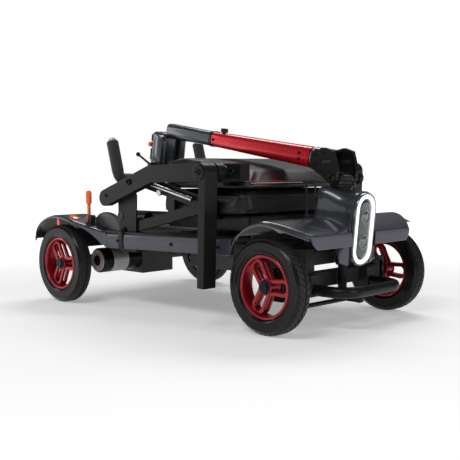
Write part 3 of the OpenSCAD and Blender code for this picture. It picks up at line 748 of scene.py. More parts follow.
def makeNose():
    bm = bmesh.new()
    rings = []
    steps = [0, 0.02, 0.05] + [0.1 + 0.9 * k / 22 for k in range(23)]
    for t in steps:
        w, top = noseHalf(t), noseTop(t)
        shrink = {0: 0.90, 0.02: 0.955, 0.05: 0.985}.get(t, 1.0)
        r = (22 + 15 * t) if t < 0.999 else 37
        r = min(r, w - 1)
        ring = []
        low = 180 if t < 0.7 else 180 - 47 * ((t - 0.7) / 0.3) ** 1.3
        for z in [low + (top - r - low) * k / 16 for k in range(17)]:
            flare = nose["flare"] * max(0, (252 - z) / 30) ** 2.2 * (1 - t) ** 0.7 if z < 252 else 0
            ring.append((w * shrink + min(flare, 26), z))
        for k in range(1, 11):
            a = math.pi / 2 * k / 10
            ring.append(((w - r + r * math.cos(a)) * shrink, top - r + r * math.sin(a) - (1 - shrink) * 40))
        full = [(-y, z) for y, z in ring] + [(y, z) for y, z in reversed(ring)]
        rings.append([bm.verts.new(at(noseX(t, z), y, z)) for y, z in full])
    skin(bm, rings, wrap=False)
    bmesh.ops.remove_doubles(bm, verts=bm.verts, dist=1e-5)
    bm.faces.new(list(reversed(rings[0])))
    bmesh.ops.recalc_face_normals(bm, faces=bm.faces)
    made = keep("noseCowl", bm, "bodyPaint", angle=50)
    wall = made.modifiers.new("wall", "SOLIDIFY")
    wall.thickness, wall.offset = nose["wall"] / 1000, -1
    # round opening for the steering shaft
    stem = plain(at(366, 0, 0))
    drill = lathe([(0.01, 276), (25.5, 276), (25.5, 330), (0.01, 330)], 48)
    cutter = keep("drill", drill, "bodyPaint", matrix=stem)
    cut = made.modifiers.new("opening", "BOOLEAN")
    cut.object, cut.operation, cut.solver = cutter, "DIFFERENCE", "EXACT"
    mesh = settled(made)
    bpy.data.objects.remove(cutter)
    keep("noseCowl", mesh, "bodyPaint", bodyOf["nose_cowl"], ["nose_cowl"], angle=44, weighted=True)
    collar = lathe([(25.2, 301.5), (28.5, 302.2), (29.3, 304.2), (28, 306), (25.6, 305.4), (25.2, 303)], 48)
    keep("noseCollar", collar, "rubber", bodyOf["nose_cowl"], matrix=plain(at(366, 0, -1.5)))


makeNose()

wing = {
    "path": [
        (251, 162), (255, 177), (263, 192), (274, 207), (292, 221), (316, 231), (343, 235), (372, 229), (400, 217),
        (417, 207.5)
    ],
    "inner": 22.0, "outer": 236.0, "frontCorner": 175.0, "lip": 5.0
}


def wingOuter(x):
    if x <= 340:
        return wing["outer"]
    t = min(1, (x - 340) / 82)
    return wing["outer"] - (wing["outer"] - wing["frontCorner"] - 3) * t ** 1.9


def makeWing(side):
    fine = smoothLine(wing["path"], 6)[:-1] + [
        Vector((x, 0, z)) for x,
        z in (
            (417, 207.6), (420.6, 205.6), (422.8, 203.4), (423.8, 200.4), (424.2, 196), (424.7, 190), (425.2, 184),
            (425.6, 179), (425.9, 176)
        )
    ]
    rows, tail = [], []
    for p in fine:
        x, z = p.x, p.z
        flap = x > 422.5
        outer = wingOuter(min(x, 421))
        if flap:  # the flap's lower outer corner is rounded
            d = max(0, 26 - (z - 176))
            outer = wing["frontCorner"] + 3 - (d / 26) ** 3.0 * 13 - (204 - z) * 0.25
        t = (x - nose["rearLow"]) / (nose["frontLow"] - nose["rearLow"])
        inner = 18 if t < 0 else noseHalf(min(1, max(0, t))) - 3
        if x < 274:  # only the outer strip runs on down to the skirt
            tail.append(
                [
                    at(x, side * y, z - wing["lip"] * 0.4 * max(0, (y - 232) / 4) ** 2)
                    for y in (227.9, 229.4, 231, 232.6, 234, 235.2, 236)
                ] + [at(x, side * 236.2, z - 7)]
            )
            if x < 269.5:
                continue
        if flap:
            inner = 43 - (204 - z) * 0.1
        elif x > 400:
            inner = 41
        elif 300 < x < 322:
            inner = max(18, 48 - (322 - x) * 1.6)
        row = []
        for k in range(31):
            y = inner + (outer - inner) * (k / 30)
            fall = max(0, y - (outer - wing["lip"] * 1.6)) / (wing["lip"] * 1.6)
            drop = wing["lip"] * fall ** 2.4 if not flap else 0
            back = 0.8 * fall if flap else 0
            row.append(at(x - back, side * y, z - drop))
        if not flap:
            row.append(at(x, side * (outer + 0.3), z - wing["lip"] - 5.5))
        else:
            row.append(at(x - 2.6, side * (outer + 0.4), z))
        rows.append(row)
    bm = joined([grid(rows), grid(tail)])
    limit = at(422.6, 0, 0).x
    for f in bm.faces:
        f.material_index = 1 if f.calc_center_median().x > limit - 0.0006 and f.calc_center_median().z < 0.2045 else 0
    walled(
        sided("frontWing", side), bm, ["bodyPaint", "flapPaint"], bodyOf["front_wing"], ["front_wing"], 2.6, ease=0.7,
        angle=38
    )


for side in sides:
    makeWing(side)

rearShell = {
    "path": [
        (-442, 160), (-438, 180), (-424, 199), (-398, 214), (-368, 222.5), (-342, 224.5), (-310, 222), (-280, 214.5),
        (-250, 204), (-224, 194.5), (-204, 188.5), (-186, 185.5)
    ],
    "inner": 178.0, "outer": 274.0, "skirt": 231.0, "lip": 6.0
}


def rearOuter(x):  # the fender narrows in an S to the skirt
    t = min(1, max(0, (x + 290) / 104))
    return rearShell["outer"] - (rearShell["outer"] - rearShell["skirt"]) * (t * t * (3 - 2 * t))


def makeRear(side):
    fine = smoothLine(rearShell["path"], 6)
    rows = []
    for p in fine:
        x, z, outer = p.x, p.z, rearOuter(p.x)
        row = [at(x, side * (rearShell["inner"] - 0.2), min(z - 3, 188))]
        for k in range(25):
            y = rearShell["inner"] + (outer - rearShell["inner"]) * k / 24
            edge = max(0, y - (outer - 10)) / 10
            start = max(0, (rearShell["inner"] + 5 - y) / 5)
            row.append(at(x, side * y, z - rearShell["lip"] * 0.5 * edge ** 2.2 - 3 * start ** 2))
        tail = max(0.0, min(1, (x + 262) / 60))  # the outer wall deepens where it joins the skirt
        row.append(at(x, side * (outer + 0.2), z - rearShell["lip"] - 1 - 26 * tail * tail))
        rows.append(row)
    walled(
        sided("rearFender", side), grid(rows), "bodyPaint", bodyOf["rear_cover"], ["rear_cover"], 2.6, ease=0.7,
        angle=38
    )


for side in sides:
    makeRear(side)
centre = [
    block(-432, -180, 184, -200, 180, 190.4, 1.4),
    block(-432, -179, 128, -429, 179, 188, 1.0),
    block(-398, -181, 186, -206, -177.5, 196, 1.0),
    block(-398, 177.5, 186, -206, 181, 196, 1.0),
]
for x in range(-400, -330, 14):
    centre.append(block(x, -150, 190.2, x + 6, 150, 191.8, 0.6, 1))
keep("rearDeck", joined(centre), "moulded", "chassis", ["rear_cover"], weighted=True)


# rounded covers beside the seat, over the rear hinge of the deck
humpLine = [
    (-252, 206, 199), (-242, 206, 208), (-222, 205, 213), (-200, 205, 212), (-180, 205, 205), (-166, 205, 193),
    (-160, 205, 186)
]


def makeHump(side):
    path = smoothPath([at(x, side * y, z) for x, y, z in humpLine], 6)
    n = len(path)
    scales = [math.sqrt(max(0.05, 1 - (1 - min(1, (i + 0.3) / (n * 0.34))) ** 2)) for i in range(n)]
    keep(
        sided("deckHump", side), sweep(path, squareSection(15, 42, 3.0, 36), scales=scales), "humpGrey", "chassis",
        angle=60
    )


for side in sides:
    makeHump(side)
ears = [block(-269, y - 1.5, 200, -255, y + 1.5, 226, 0.8) for y in (-232, -221)]
keep("leverEars", joined(ears), "frameBlack", "chassis")
eased("fender_liners", "liner", 0.6)
eased("floor_pan", "moulded", 0.9)


def makeSkirts():
    parts = []
    line = [(-196, 149), (-164, 146.5), (-90, 149), (0, 151.5), (86, 153.5), (208, 156), (249.4, 158.6)]
    top = [(-196, 184.5), (-175, 183.5), (-90, 185.2), (0, 187), (86, 189), (208, 192), (249.4, 194)]
    low, high = (smoothLine(p, 8) for p in (line, top))
    for side in sides:
        rows = []
        for a, b in zip(low, high):
            row = [at(b.x, side * 222, b.z)]
            for k in range(9):
                s = k / 8
                bulge = 1.6 * math.sin(math.pi * s)
                row.append(at(b.x, side * (229.4 + bulge * 0.9), b.z - 1.2 + (a.z - b.z + 2.4) * s))
            row.append(at(a.x, side * 222, a.z))
            rows.append(row)
        parts.append(grid(rows))
    walled("sideSkirts", joined(parts), "skirtPaint", "chassis", ["side_skirts"], 2.2, ease=0.6, angle=38)


makeSkirts()
seams = []
for side in sides:  # strap over the skirt and the panel seam near the front
    seams.append(block(-146, side * 231.4 - 1.2, 148, -128, side * 231.4 + 1.2, 190, 0.8))
    seams.append(block(-146, min(side * 212, side * 232), 187.5, -128, max(side * 212, side * 232), 190.2, 0.8))
    seams.append(block(246.6, side * 230.6 - 0.6, 160, 248.0, side * 230.6 + 0.6, 193, 0.2, 1))
keep("skirtStraps", joined(seams), "powderBlack", "chassis")
print("shell ready")

# headlamp
def stadiumPath(w, h, x, steps=20):
    r = w / 2
    pts = []
    for c, a0 in ((h / 2 - r, 0), (-(h / 2 - r), math.pi)):
        for k in range(steps + 1):
            a = a0 + math.pi * k / steps
            pts.append(Vector((x / 1000, r * math.cos(a) / 1000, (c + r * math.sin(a)) / 1000)))
    return pts


def stadiumRing(w, h, x0, section, material, name, nodes):
    bm = sweep(stadiumPath(w, h, x0), section, closed=True, up=Vector((1, 0, 0)))
    keep(name, bm, material, bodyOf[nodes[0]], nodes, matrix=lampFrame, angle=50)


stadiumRing(69.2, 155.2, 4.6, squareSection(4.0, 8.6, 3.5, 24), "lampDome", "lampBezel", ["lamp_bezel"])
stadiumRing(56.2, 142.2, 6.6, squareSection(9.0, 6.6, 3.0, 28), "ledRing", "lampRing", ["lamp_ring"])


def makeLens():
    bm = bmesh.new()
    profile = ((44.2, 3.4), (44.2, 5.6), (42.6, 6.6), (30, 7.4), (14, 7.8))
    rings = [[bm.verts.new(p) for p in stadiumPath(w, w + 86, x)] for w, x in profile]
    skin(bm, rings)
    capped(bm, rings[-1], rings[0])
    keep("lampLens", bm, "lampLens", "chassis", ["lamp_lens"], matrix=lampFrame, angle=50)
    rounds = []
    for z in (-27, 27):
        facing = plain((0, 0, z / 1000)) @ rotated(90, "Y")
        for profile in (
            [(12.4, 7.2), (15.6, 7.2), (16.2, 8.2), (15.4, 9.0), (13.2, 9.0), (12.4, 8.2)],
            [(0.01, 7.0), (12.2, 7.0), (12.2, 7.6), (8, 8.8), (3, 9.4), (0.01, 9.5)]
        ):
            rounds.append((lathe(profile, 48), facing))
        for k in range(6):
            bar = block(-0.5, 2.6, 9.0, 0.5, 11.4, 9.7, 0.2, 1)
            rounds.append((bar, facing @ rotated(60 * k, "Z")))
    keep("lampRounds", joined(rounds), "lampDome", "chassis", matrix=lampFrame, angle=40)


makeLens()

# tail lamps and reflectors
def makeTail():
    lamps, backs = [], []
    for side in sides:
        path = [(-306, 224.2), (-298, 222.2), (-290, 219.4), (-281, 215.8)]
        rows = [
            [
                at(x, side * y, z + 1.2 * math.sin(math.pi * (y - 238) / 19) + 0.4)
                for y in (238, 240, 244, 248, 252, 255, 257)
            ] for x,
            z in path
        ]
        lamps.append(grid(rows))
        backs.append(block(-434.4, min(side * 120, side * 168), 150, -432, max(side * 120, side * 168), 172, 0.8))
        backs.append(block(-351, min(side * 269, side * 271.4), 199, -340, max(side * 269, side * 271.4), 219, 0.8))
    walled("tailLamps", joined(lamps), "tailLamp", "chassis", ["rear_lights"], 3.0, ease=0.5)
    # the reflectors' faint glow, from their finish, is painted light
    keep("rearReflectors", joined(backs), "reflector", "chassis")


makeTail()
print("lamps ready")


# chassis and drive: finish and eased edge, in mm
chassis = {
    "frame_rails": ("frameBlack", 1.0), "front_subframe": ("frameBlack", 1.0), "bumper": ("powderBlack", 0.5),
    "pivot_plates": ("powderBlack", 0.8), "battery": ("batteryCase", 3.0),
    "controller": ("castGrey", 1.4), "gearbox": ("castGrey", 3.0),
    "right_knuckle": ("powderBlack", 0.9), "left_knuckle": ("powderBlack", 0.9), "track_rod": ("powderBlack", 0.8),
    "steering_stem": ("powderBlack", 0.8), "hinge_yoke": ("powderBlack", 1.6),
    "actuator_barrel": ("powderBlack", 1.4), "actuator_rod": ("steel", 0.9),
    "lift_links": ("powderBlack", 1.6), "seat_frame": ("powderBlack", 0.7), "backrest_arms": ("powderBlack", 2.6),
    "hinge_cheeks": ("powderBlack", 2.2), "key_switch": ("steel", 0.6),
}
for nodeName, (material, width) in chassis.items():
    eased(nodeName, material, width)


def makeMotor():
    side = alongY(-288, 0, 104, -1)
    body = [
        (0.01, 62.5), (30, 62.5), (31, 64), (31, 97), (32.2, 98), (32.2, 103), (31.2, 104), (31.2, 154), (32.2, 155),
        (32.4, 158), (32.2, 180), (30.8, 182.8), (0.01, 182.8)
    ]
    keep("motorBody", lathe(body, 72), "boltBlack", "chassis", ["motor"], matrix=side, angle=30)
    band = [(29, 104.2)]
    for k in range(8):
        band += [(32.2, 105 + 6.1 * k), (32.2, 110.2 + 6.1 * k), (31.2, 110.5 + 6.1 * k), (31.2, 110.8 + 6.1 * k)]
    band += [(32.2, 153.6), (29, 154)]
    keep("motorBand", lathe(band, 72), "motorSilver", "chassis", matrix=side, angle=30)
    end = [
        (14, 182.6), (27.6, 182.6), (28.6, 183.4), (28.6, 185), (27.4, 186), (21, 186), (20.4, 185.3), (19.6, 185.3),
        (19, 186), (14.6, 186), (14, 185.4)
    ]
    keep("motorEnd", lathe(end, 64), "motorSilver", "chassis", matrix=side, angle=30)
    keep(
        "motorCentre",
        lathe(
            [(0.01, 182.6), (13.6, 182.6), (13.6, 185.8), (12.4, 186.8), (5, 186.8), (4.4, 186.2), (0.01, 186.2)], 48
        ),
        "boltBlack", "chassis", matrix=side, angle=30
    )


makeMotor()


# bolt heads, set by direction on their own bodies
def boltsOn(body, name, spots):
    bm = lathe(
        [
            (0.01, 1.2), (2.5, 1.2), (2.7, 2.9), (3.4, 3.3), (4.5, 2.9), (5.2, 1.9), (5.5, 0.4), (5.5, -1.6),
            (0.01, -1.6)
        ],
        24
    )
    spread = bpy.data.meshes.new("spots")
    spread.from_pydata([p for p, _, _ in spots], [], [])
    spread.attributes.new("aim", "FLOAT_VECTOR", "POINT").data.foreach_set(
        "vector", [c for _, a, _ in spots for c in a]
    )
    spread.attributes.new("size", "FLOAT", "POINT").data.foreach_set("value", [s for _, _, s in spots])
    keep(name, grownFrom(headTree, bm, spread, "Head", "boltBlack"), "boltBlack", body)


def bothSides(x, z, y, size):
    return [(at(x, s * y, z), (0, s, 0), size) for s in sides]


boltRows = [  # x, z, distance from the middle, size
    (
        "chassis", "plateBolts",
        [(-133, 194, 213.4, 1.3), (-146, 262, 213.4, 0.9), (-104, 176, 213.4, 0.8), (-140, 176, 213.4, 0.8)]
    ),
    ("chassis", "skirtBolts", [(-137, 168, 232.4, 0.7), (212, 174, 231.6, 0.7), (60, 171, 232.2, 0.7)]),
    ("lift", "liftBolts", [(-100, 201.5, 208.2, 0.7)]),
    ("seat", "seatBolts", [(150, 258, 208.6, 1.5), (-38, 303, 200.2, 0.7), (88, 274, 200.2, 0.7)]),
    ("backrest", "armBolts", [(-85, 311, 236.2, 1.5), (221, 336, 196.2, 1.5), (-176, 277, 236.2, 0.8)]),
]
for body, name, rows in boltRows:
    boltsOn(body, name, [spot for row in rows for spot in bothSides(*row)])
for label, s in (("right", -1), ("left", 1)):
    cap = lathe([(0.01, 0), (17, 0), (17.4, 1.2), (16.4, 2.8), (13.6, 3.3), (12.8, 2.6), (0.01, 2.6)], 56)
    keep(
        label + "ArmrestCap", cap, "powderBlack", bodyOf[label + "_armrest"], matrix=alongY(202, s * 276, 334, s),
        angle=30
    )
    boltsOn(bodyOf[label + "_armrest"], label + "ArmrestBolt", [(at(202, s * 278.4, 334), (0, s, 0), 1.2)])
    disc = lathe([(0.01, 0), (11, 0), (11, 1.6), (10, 2.4), (6.6, 2.4), (6.2, 1.8), (0.01, 1.8)], 40)
    keep(label + "PlateDisc", disc, "castGrey", "chassis", matrix=alongY(-148, s * 212.8, 227, s), angle=30)
print("chassis ready")


for label in ("right", "left"):
    eased(label + "_armrest", "powderBlack", 3.4)

# tiller: its tubes lie above the fold pivot
tubeLift = 0.033


def alongTube(x0, x1, w0, w1, name, material, body, stands=()):
    path, scales = [], []
    for i in range(29):
        s = i / 28
        path.append(Vector(((x0 + (x1 - x0) * s) / 1000, 0, tubeLift)))
        scales.append((w0 + (w1 - w0) * s) / w0)
    bm = sweep(path, squareSection(2 * w0, 2 * w0, 3.1, 48), scales=scales)
    keep(name, bm, material, body, stands, matrix=tillerFrame, angle=40)


def onTube(x):  # a turned piece's +Z along the tube
    return tillerFrame @ plain((x / 1000, 0, tubeLift)) @ rotated(90, "Y")


alongTube(-413, -84, 18.4, 23.8, "redTube", "redTube", "tiller", ["lower_tube"])
alongTube(-414.6, -407, 19.6, 19.9, "redTubeRim", "powderBlack", "tiller")
alongTube(-577.2, -415.4, 19.8, 18.2, "headTube", "bodyPaint", "tiller_head", ["upper_tube"])
slide = lathe([(0.01, 0), (15.6, 0), (15.6, 84), (0.01, 84)], 40)
keep("slideTube", slide, "steel", "tiller_head", matrix=onTube(-415.5))
# collar of grooved metal at the foot of the tube
collar = [
    (0.01, 0), (23.4, 0), (25.0, 1.2), (25.0, 4.2), (24.2, 4.7), (24.2, 6.1), (25.0, 6.6), (25.0, 11), (24.2, 11.5),
    (24.2, 12.9), (25.0, 13.4), (25.0, 16.6), (23.6, 17.8), (0.01, 17.8)
]
keep("tubeCollar", lathe(collar, 64), "collar", "tiller", ["base_collar"], matrix=onTube(-82), angle=30)


def onTiller(x, y, z):
    return tillerFrame @ Vector((x / 1000, y / 1000, z / 1000))


def tillerAim(x, y, z):
    return tuple(tillerFrame.to_3x3() @ Vector((x, y, z)))


boltsOn(
    "tiller", "tubeScrews",
    [
        (onTiller(x, s * (18.8 + (x + 413) * 0.0163 + 0.1), z), tillerAim(0, s, 0), 0.62) for s in sides for x,
        z in ((-398, 33), (-112, 40), (-112, 26))
    ]
)
boltsOn(
    "tiller", "cheekBolts",
    [
        (onTiller(x, s * 40.2, z), tillerAim(0, s, 0), k) for s in sides for x, z,
        k in ((0, 0, 1.7), (-54, 44, 0.8), (-54, 22, 0.8), (-30, 52, 0.8))
    ]
)

fill = [block(-38, y0, 24, -3, y1, 41, 0.8) for y0, y1 in ((-38.4, -31), (31, 38.4))]
keep("cheekPads", joined(fill), "moulded", "tiller", matrix=tillerFrame, angle=30)
boot = [(0.01, 304.4), (27, 304.4), (29, 307), (28, 311), (24, 315), (25, 318), (22, 323), (17, 326), (0.01, 327)]
keep("stemBoot", lathe(boot, 56), "rubber", "steering", matrix=plain(at(366, 0, 0)), angle=50)

# ribbed hand knob on the hinge, on the far side; the plain domed one on the near side is the big cheek bolt head set
# above
knob = lathe([(0.01, 0), (9, 0), (9, 3), (14, 4), (14, 16), (12.6, 18), (0.01, 18.4)], 60)
ribs = bmesh.new()
bmesh.ops.create_cube(ribs, size=1)
for v in ribs.verts:
    v.co = Vector((v.co.x * 0.0022, v.co.y * 0.0026, v.co.z * 0.0115 + 0.0102))
bmesh.ops.bevel(ribs, geom=ribs.edges[:], offset=0.0006, segments=2, affect="EDGES")
bm = joined([knob])
bm.from_mesh(ringOf(ribs, 18, 14.2, "rubber", Matrix.Identity(4)))
farSide = tillerFrame @ plain((0, 0.0412, 0)) @ rotated(-90, "X")
keep("hingeKnob", bm, "rubber", "tiller", matrix=farSide, angle=34)

# star knob that locks the sliding tube
star = bmesh.new()
starPoints = 60
rings = []
for z, s in ((0.0, 0.86), (1.4, 1.0), (8.2, 1.0), (10.0, 0.8)):
    ring = []
    for i in range(starPoints):
        a = math.tau * i / starPoints
        r = (8.6 + 1.1 * math.cos(5 * a)) * s
        ring.append(star.verts.new((r * math.cos(a) / 1000, r * math.sin(a) / 1000, z / 1000)))
    rings.append(ring)
skin(star, rings)
capped(star, rings[-1], rings[0])
stud = lathe([(0.01, -3), (3, -3), (3, 1), (0.01, 1)], 24)
keep(
    "lockKnob", joined([star, stud]), "rubber", "clamp_knob", ["clamp_knob"],
    matrix=tillerFrame @ plain((-0.379, 0, 0.053)), angle=34
)

# control head: a big rounded case with a slab each side and a raised panel
def makePod():
    bm = block(-628.6, -28, -65.6, -577.4, 28, 27, 12, 6)
    slabs = [bm]
    for s in sides:
        slab = bmesh.new()
        bmesh.ops.create_cube(slab, size=1)
        for v in slab.verts:
            v.co = Vector(
                ((-597, -565)[v.co.x > 0] / 1000, s * 0.0355 + v.co.y * 0.017, (-62, 21)[v.co.z > 0] / 1000)
            )
        corners = [e for e in slab.edges if abs(e.verts[0].co.y - e.verts[1].co.y) > 0.005]
        bevelled(slab, corners, 0.016, 8)
        bevelled(slab, sharpEdges(slab, 1.0), 0.003, 3)
        slabs.append(slab)
    keep("headPod", joined(slabs), "bodyPaint", "tiller_head", ["head_pod"], matrix=tillerFrame, angle=40)
    parts = [
        block(-631, -24, -50, -627, 24, -20, 1.2), block(-631, -24, 0, -627, 24, 18, 1.2),
        block(-632.4, -19, 3, -630.8, 19, 15, 0.5)
    ]
    for k in range(4):
        parts.append(block(-632.4, -22 + 12 * k, -44, -630.8, -14 + 12 * k, -36, 0.5))
    keep("podPanel", joined(parts), "boltBlack", "tiller_head", matrix=tillerFrame, angle=30)


makePod()
for nodeName, material, width in (
    ("handlebar", "powderBlack", 0.4), ("brake_lever", "powderBlack", 0.5), ("throttle_paddle", "rubber", 1.6),
    ("horn_button", "orange", 1.2)
):
    eased(nodeName, material, width)


# foam grips with a seam ring and a bright end plug
def makeGrips():
    foam, plugs = [], []
    outline = [(11.4, 19), (15.3, 20)] + [
        (15.5 if k % 2 else 15.15, 24 + 2.6 * k) for k in range(28)
    ] + [(15.4, 98.4), (14.2, 101), (11.4, 101)]
    for s in sides:
        put = plain((0, s * 0.15, 0))
        foam.append((lathe(outline, 48), put))
        plugs.append(
            (
                lathe(
                    [
                        (0.01, 98), (10.6, 98), (10.9, 101.4), (11.6, 101.9), (11.6, 104.2), (9.4, 105.4),
                        (9.0, 108.4), (7, 109.6), (0.01, 109.8)
                    ],
                    40
                ),
                put
            )
        )
        bend = [Vector((0, s * y / 1000, 0)) for y in (108, 116, 124, 134)]
        bend += [
            Vector((0, s * (134 + 16 * math.sin(a)) / 1000, (16 - 16 * math.cos(a)) / 1000))
            for a in (0.26, 0.52, 0.79, 1.05, 1.31, 1.571)
        ]
        bend += [Vector((0, s * 0.15, z / 1000)) for z in (18, 19.4)]
        foam.append(sweep(bend, roundSection(14.6, 32), scales=[0.9] + [1.0] * 10 + [0.97]))
    keep("foamGrips", joined(foam), "foam", "tiller_head", ["grips"], matrix=barFrame, angle=40)
    keep("gripEnds", joined(plugs), "motorSilver", "tiller_head", matrix=barFrame, angle=30)


makeGrips()

# orange lever for freewheeling
lever = [
    (0.01, 33), (4.4, 33), (4.4, 36), (6.6, 37.4), (7.5, 41), (7.1, 46), (7.5, 52), (7.5, 62), (6.6, 67), (4.4, 69.4),
    (0.01, 70)
]
foot = (-262, -226.5, 218)
pieces = [(lathe(lever, 40), plain(at(*foot))), (block(-4, -3, 0, 4, 3, 37, 1), plain(at(*foot)))]
pieces += [
    (lathe([(0.01, -h), (r, -h), (r, h), (0.01, h)], n), alongY(*foot)) for r, h, n in ((6, 4.1, 32), (4, 7.5, 24))
]
keep("freewheelHandle", joined(pieces), "orange", "freewheel", ["freewheel_lever"], angle=34)

# lead beside the nose
def makeLead():
    path = [at(316, -63, z) for z in (236.8, 250, 265, 280, 292)]
    path += [
        at(328 - 12 * math.cos(math.pi * k / 10), -63, 300.4 + 12 * math.sin(math.pi * k / 10)) for k in range(11)
    ]
    path += [at(340, -63, z) for z in (296, 288, 281)]
    path += [at(340, -63 + 3 * (1 - math.cos(a)), 279 - 3 * math.sin(a)) for a in (0.4, 0.8, 1.2, 1.57)]
    path += [at(340, y, 276) for y in (-57.5, -55, -53.5)]
    made = keep("cableLoop", sweep(path, roundSection(2.5, 16)), "rubber", "chassis", ["cable_loop"], angle=60)
    gland = lathe([(2.3, 0), (5.6, 0), (5.8, 2), (4.6, 5), (2.3, 5.4)], 32)
    keep("leadGland", gland, "rubber", "chassis", matrix=plain(at(316, -63, 235.2)))


makeLead()
print("tiller ready")

# cushions: blown up as cloth, and held flat below
cushion = {"voxel": 0.0055, "pressure": 4.0, "frames": 20, "stitchPitch": 0.0072, "cap": 0.009, "fill": 0.75}


def remeshed(name, bm, size):
    host = newObject(name, meshFrom(bm, name))
    mod = host.modifiers.new("even", "REMESH")
    mod.mode, mod.voxel_size = "VOXEL", size
    return settled(host)


def plumped(name, bm, held):
    mesh = remeshed(name, bm, cushion["voxel"])
    host = newObject(name, mesh)
    start = [v.co.copy() for v in mesh.vertices]
    fixed = host.vertex_groups.new(name="held")
    for v in mesh.vertices:
        if held(v.co):
            fixed.add([v.index], 1.0, "REPLACE")
    cloth = host.modifiers.new("blow", "CLOTH")
    s = cloth.settings
    s.quality, s.mass, s.air_damping = 5, 0.3, 2.0
    s.tension_stiffness, s.compression_stiffness, s.shear_stiffness, s.bending_stiffness = 14, 10, 6, 0.35
    s.use_pressure, s.uniform_pressure_force = True, cushion["pressure"]
    s.vertex_group_mass = "held"
    s.effector_weights.gravity = 0
    cloth.collision_settings.use_collision = False
    cloth.point_cache.frame_start, cloth.point_cache.frame_end = 1, cushion["frames"]
    for f in range(1, cushion["frames"] + 1):
        scene.frame_set(f)
    blown = bpy.data.meshes.new_from_object(host.evaluated_get(bpy.context.evaluated_depsgraph_get()))
    moved = [v.co.copy() for v in blown.vertices]
    scene.frame_set(1)
    for v, a, b in zip(mesh.vertices, start, moved):
        d = b - a
        if d.length > cushion["cap"]:
            d = d.normalized() * cushion["cap"]
        v.co = a + d
    bpy.data.meshes.remove(blown)
    host.modifiers.remove(cloth)
    bm = bmesh.new()
    bm.from_mesh(mesh)
    bpy.data.objects.remove(host)
    for _ in range(2):
        bmesh.ops.smooth_vert(bm, verts=bm.verts, factor=0.5, use_axis_x=True, use_axis_y=True, use_axis_z=True)
    return bm


def roundedBlock(x0, x1, half, z0, z1, corner, ease, cut=()):
    bm = bmesh.new()
    ring = []
    for cx, cy, a0 in (
        (x1 - corner, half - corner, 0), (x0 + corner, half - corner, 90), (x0 + corner, -half + corner, 180),
        (x1 - corner, -half + corner, 270)
    ):
        for k in range(9):
            a = math.radians(a0 + 90 * k / 8)
            ring.append((cx + corner * math.cos(a), cy + corner * math.sin(a)))
    low, high = ([bm.verts.new(at(x, y, z)) for x, y in ring] for z in (z0, z1))
    bm.faces.new(high)
    bm.faces.new(list(reversed(low)))
    skin(bm, [low, high])
    for point, normal in cut:
        geom = bm.verts[:] + bm.edges[:] + bm.faces[:]
        done = bmesh.ops.bisect_plane(bm, geom=geom, plane_co=point, plane_no=normal, clear_outer=True)
        edges = [e for e in done["geom_cut"] if isinstance(e, bmesh.types.BMEdge)]
        bmesh.ops.contextual_create(bm, geom=edges)
    bmesh.ops.recalc_face_normals(bm, faces=bm.faces)
    bevelled(bm, sharpEdges(bm, math.radians(28)), ease / 1000, 5)
    return bm


# a bead laid round a cushion where rays from outside meet it at one height
def beadRound(tree, z, name, body, r):
    path = []
    for k in range(180):
        a = math.tau * k / 180
        d = Vector((math.cos(a), math.sin(a), 0))
        middle = at(103 + 40 * math.cos(a), 60 * math.sin(a), z)
        hit = tree.ray_cast(middle + d * 0.5, -d)
        if hit[0] is not None:
            path.append(hit[0] + d * 0.0003)
    keep(name, sweep(path, roundSection(r, 12), closed=True), "piping", body, angle=60)


# a finished cushion: covered in vinyl and smoothed
def upholstered(name, bm, body, cad):
    made = keep(name, bm, "vinyl", body, [cad], angle=80)
    smooth = made.modifiers.new("smooth", "SUBSURF")
    smooth.levels = smooth.render_levels = 1


def makeSeat():
    base = at(0, 0, 239).z + 0.0015
    bm = plumped("seatCushion", roundedBlock(-39, 245, 181, 238.5, 290.5, 30, 13), lambda p: p.z < base)
    top, foot = at(0, 0, 293.6).z, at(0, 0, 236.2).z
    for v in bm.verts:  # the top stays under the pad that rests on it
        v.co.z = max(min(v.co.z, top), foot)
    tree = BVHTree.FromBMesh(bm)
    upholstered("seatCushion", bm, "seat", "seat_cushion")
    beadRound(tree, 279, "seatPiping", "seat", 2.2)
    beadRound(tree, 246, "seatPipingLow", "seat", 1.8)


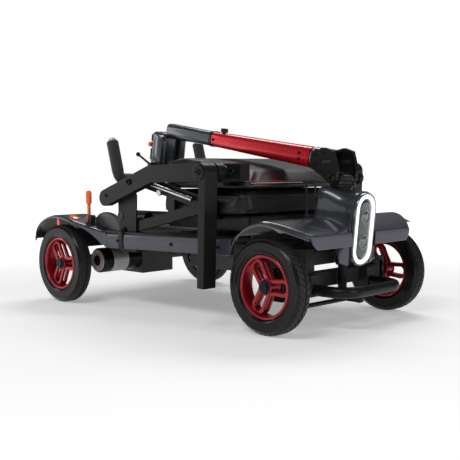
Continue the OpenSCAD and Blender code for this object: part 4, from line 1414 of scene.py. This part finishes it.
def makePad():
    cut = [
        (at(20, 0, 358), Vector((18, 0, 130)).normalized()),
        (at(150, 0, 340), Vector((15, 0, 66)).normalized()),
        (at(216, 0, 325), Vector((11, 0, 22)).normalized()),
        (at(-40, 0, 350), Vector((-12, 0, 14)).normalized()),
    ]
    bm = roundedBlock(-39, 240, 179, 297, 358, 34, 12, cut)
    base = at(0, 0, 298).z
    bm = plumped("backPad", bm, lambda p: p.z < base)
    for v in bm.verts:
        v.co.z = max(v.co.z, at(0, 0, 295.6).z)
        y = abs(v.co.y) * 1000
        x = v.co.x * 1000 + 11
        if 180 < x < 252 and v.co.z > at(0, 0, 309).z and y > 165:  # pocket for the arm blocks
            v.co.y = math.copysign(min(abs(v.co.y), 0.1665), v.co.y)
    tree = BVHTree.FromBMesh(bm)
    upholstered("backPad", bm, "backrest", "backrest_cushion")
    beadRound(tree, 302, "padPiping", "backrest", 2.0)
    # two-colour stitched stripe on the front edge
    for z, material in ((312.6, "redThread"), (309.0, "whiteThread")):
        hits = [tree.ray_cast(at(330, -150 + 170 * k / 59, z), Vector((-1, 0, 0)))[0] for k in range(60)]
        line = [hit + Vector((0.0004, 0, 0)) for hit in hits if hit is not None]
        mesh = bpy.data.meshes.new("line")
        mesh.from_pydata(line, [(i, i + 1) for i in range(len(line) - 1)], [])
        sample = block(-2.6, -0.6, -0.7, 2.6, 0.6, 0.7, 0.4)
        stitches = grownFrom(stitchTree, sample, mesh, "Stitch", material, Spacing=cushion["stitchPitch"])
        keep(material + "Stitches", stitches, material, "backrest")


makeSeat()
makePad()
tray = [
    block(-30, -168, 206, 234, -164, 237, 1), block(-30, 164, 206, 234, 168, 237, 1),
    block(230, -168, 206, 234, 168, 237, 1), block(-30, -168, 233.6, 234, 168, 236.4, 0.6)
]
keep("seatTray", joined(tray), "moulded", "seat", angle=30)
knobs = [
    (
        lathe(
            [
                (0.01, -8), (3, -8), (3, 0), (6.6, 0.4), (7.2, 2), (7.2, 7), (6.2, 8.2), (2.6, 8.2), (2, 7.2),
                (0.01, 7.2)
            ],
            40
        ),
        alongY(-12, s * 198.6, 286, s)
    )
    for s in sides
]
keep("seatKnobs", joined(knobs), "steel", "seat", angle=30)

# bright side tubes of the seat frame
tubes = []
for s in sides:
    a = plain(at(-46, s * 199, 304.8)) @ rotated(103, "Y")
    tubes.append((lathe([(0.01, -0.4), (4.6, -0.4), (5.25, 0.6), (5.25, 145.4), (4.6, 146.4), (0.01, 146.4)], 32), a))
keep("seatSideTubes", joined(tubes), "steel", "seat", angle=30)
print("cushions ready")

# floor: it glows more with distance, so that it ends in the backdrop
floorMesh = bpy.data.meshes.new("floor")
floorMesh.from_pydata([(-60, -60, 0), (60, -60, 0), (60, 60, 0), (-60, 60, 0)], [], [(0, 1, 2, 3)])
floor = keep("floor", floorMesh, "floor")
tree = paint["floor"].node_tree
place = node(tree, "ShaderNodeTexCoord").outputs["Object"]
far = node(tree, "ShaderNodeVectorMath", {0: place}, operation="LENGTH").outputs["Value"]
fade = node(tree, "ShaderNodeMapRange", {"Value": far, **studio["floorGlow"]}, interpolation_type="SMOOTHSTEP")
feed(tree, tree.nodes["Principled BSDF"], {"Emission Color": white, "Emission Strength": fade.outputs[0]})
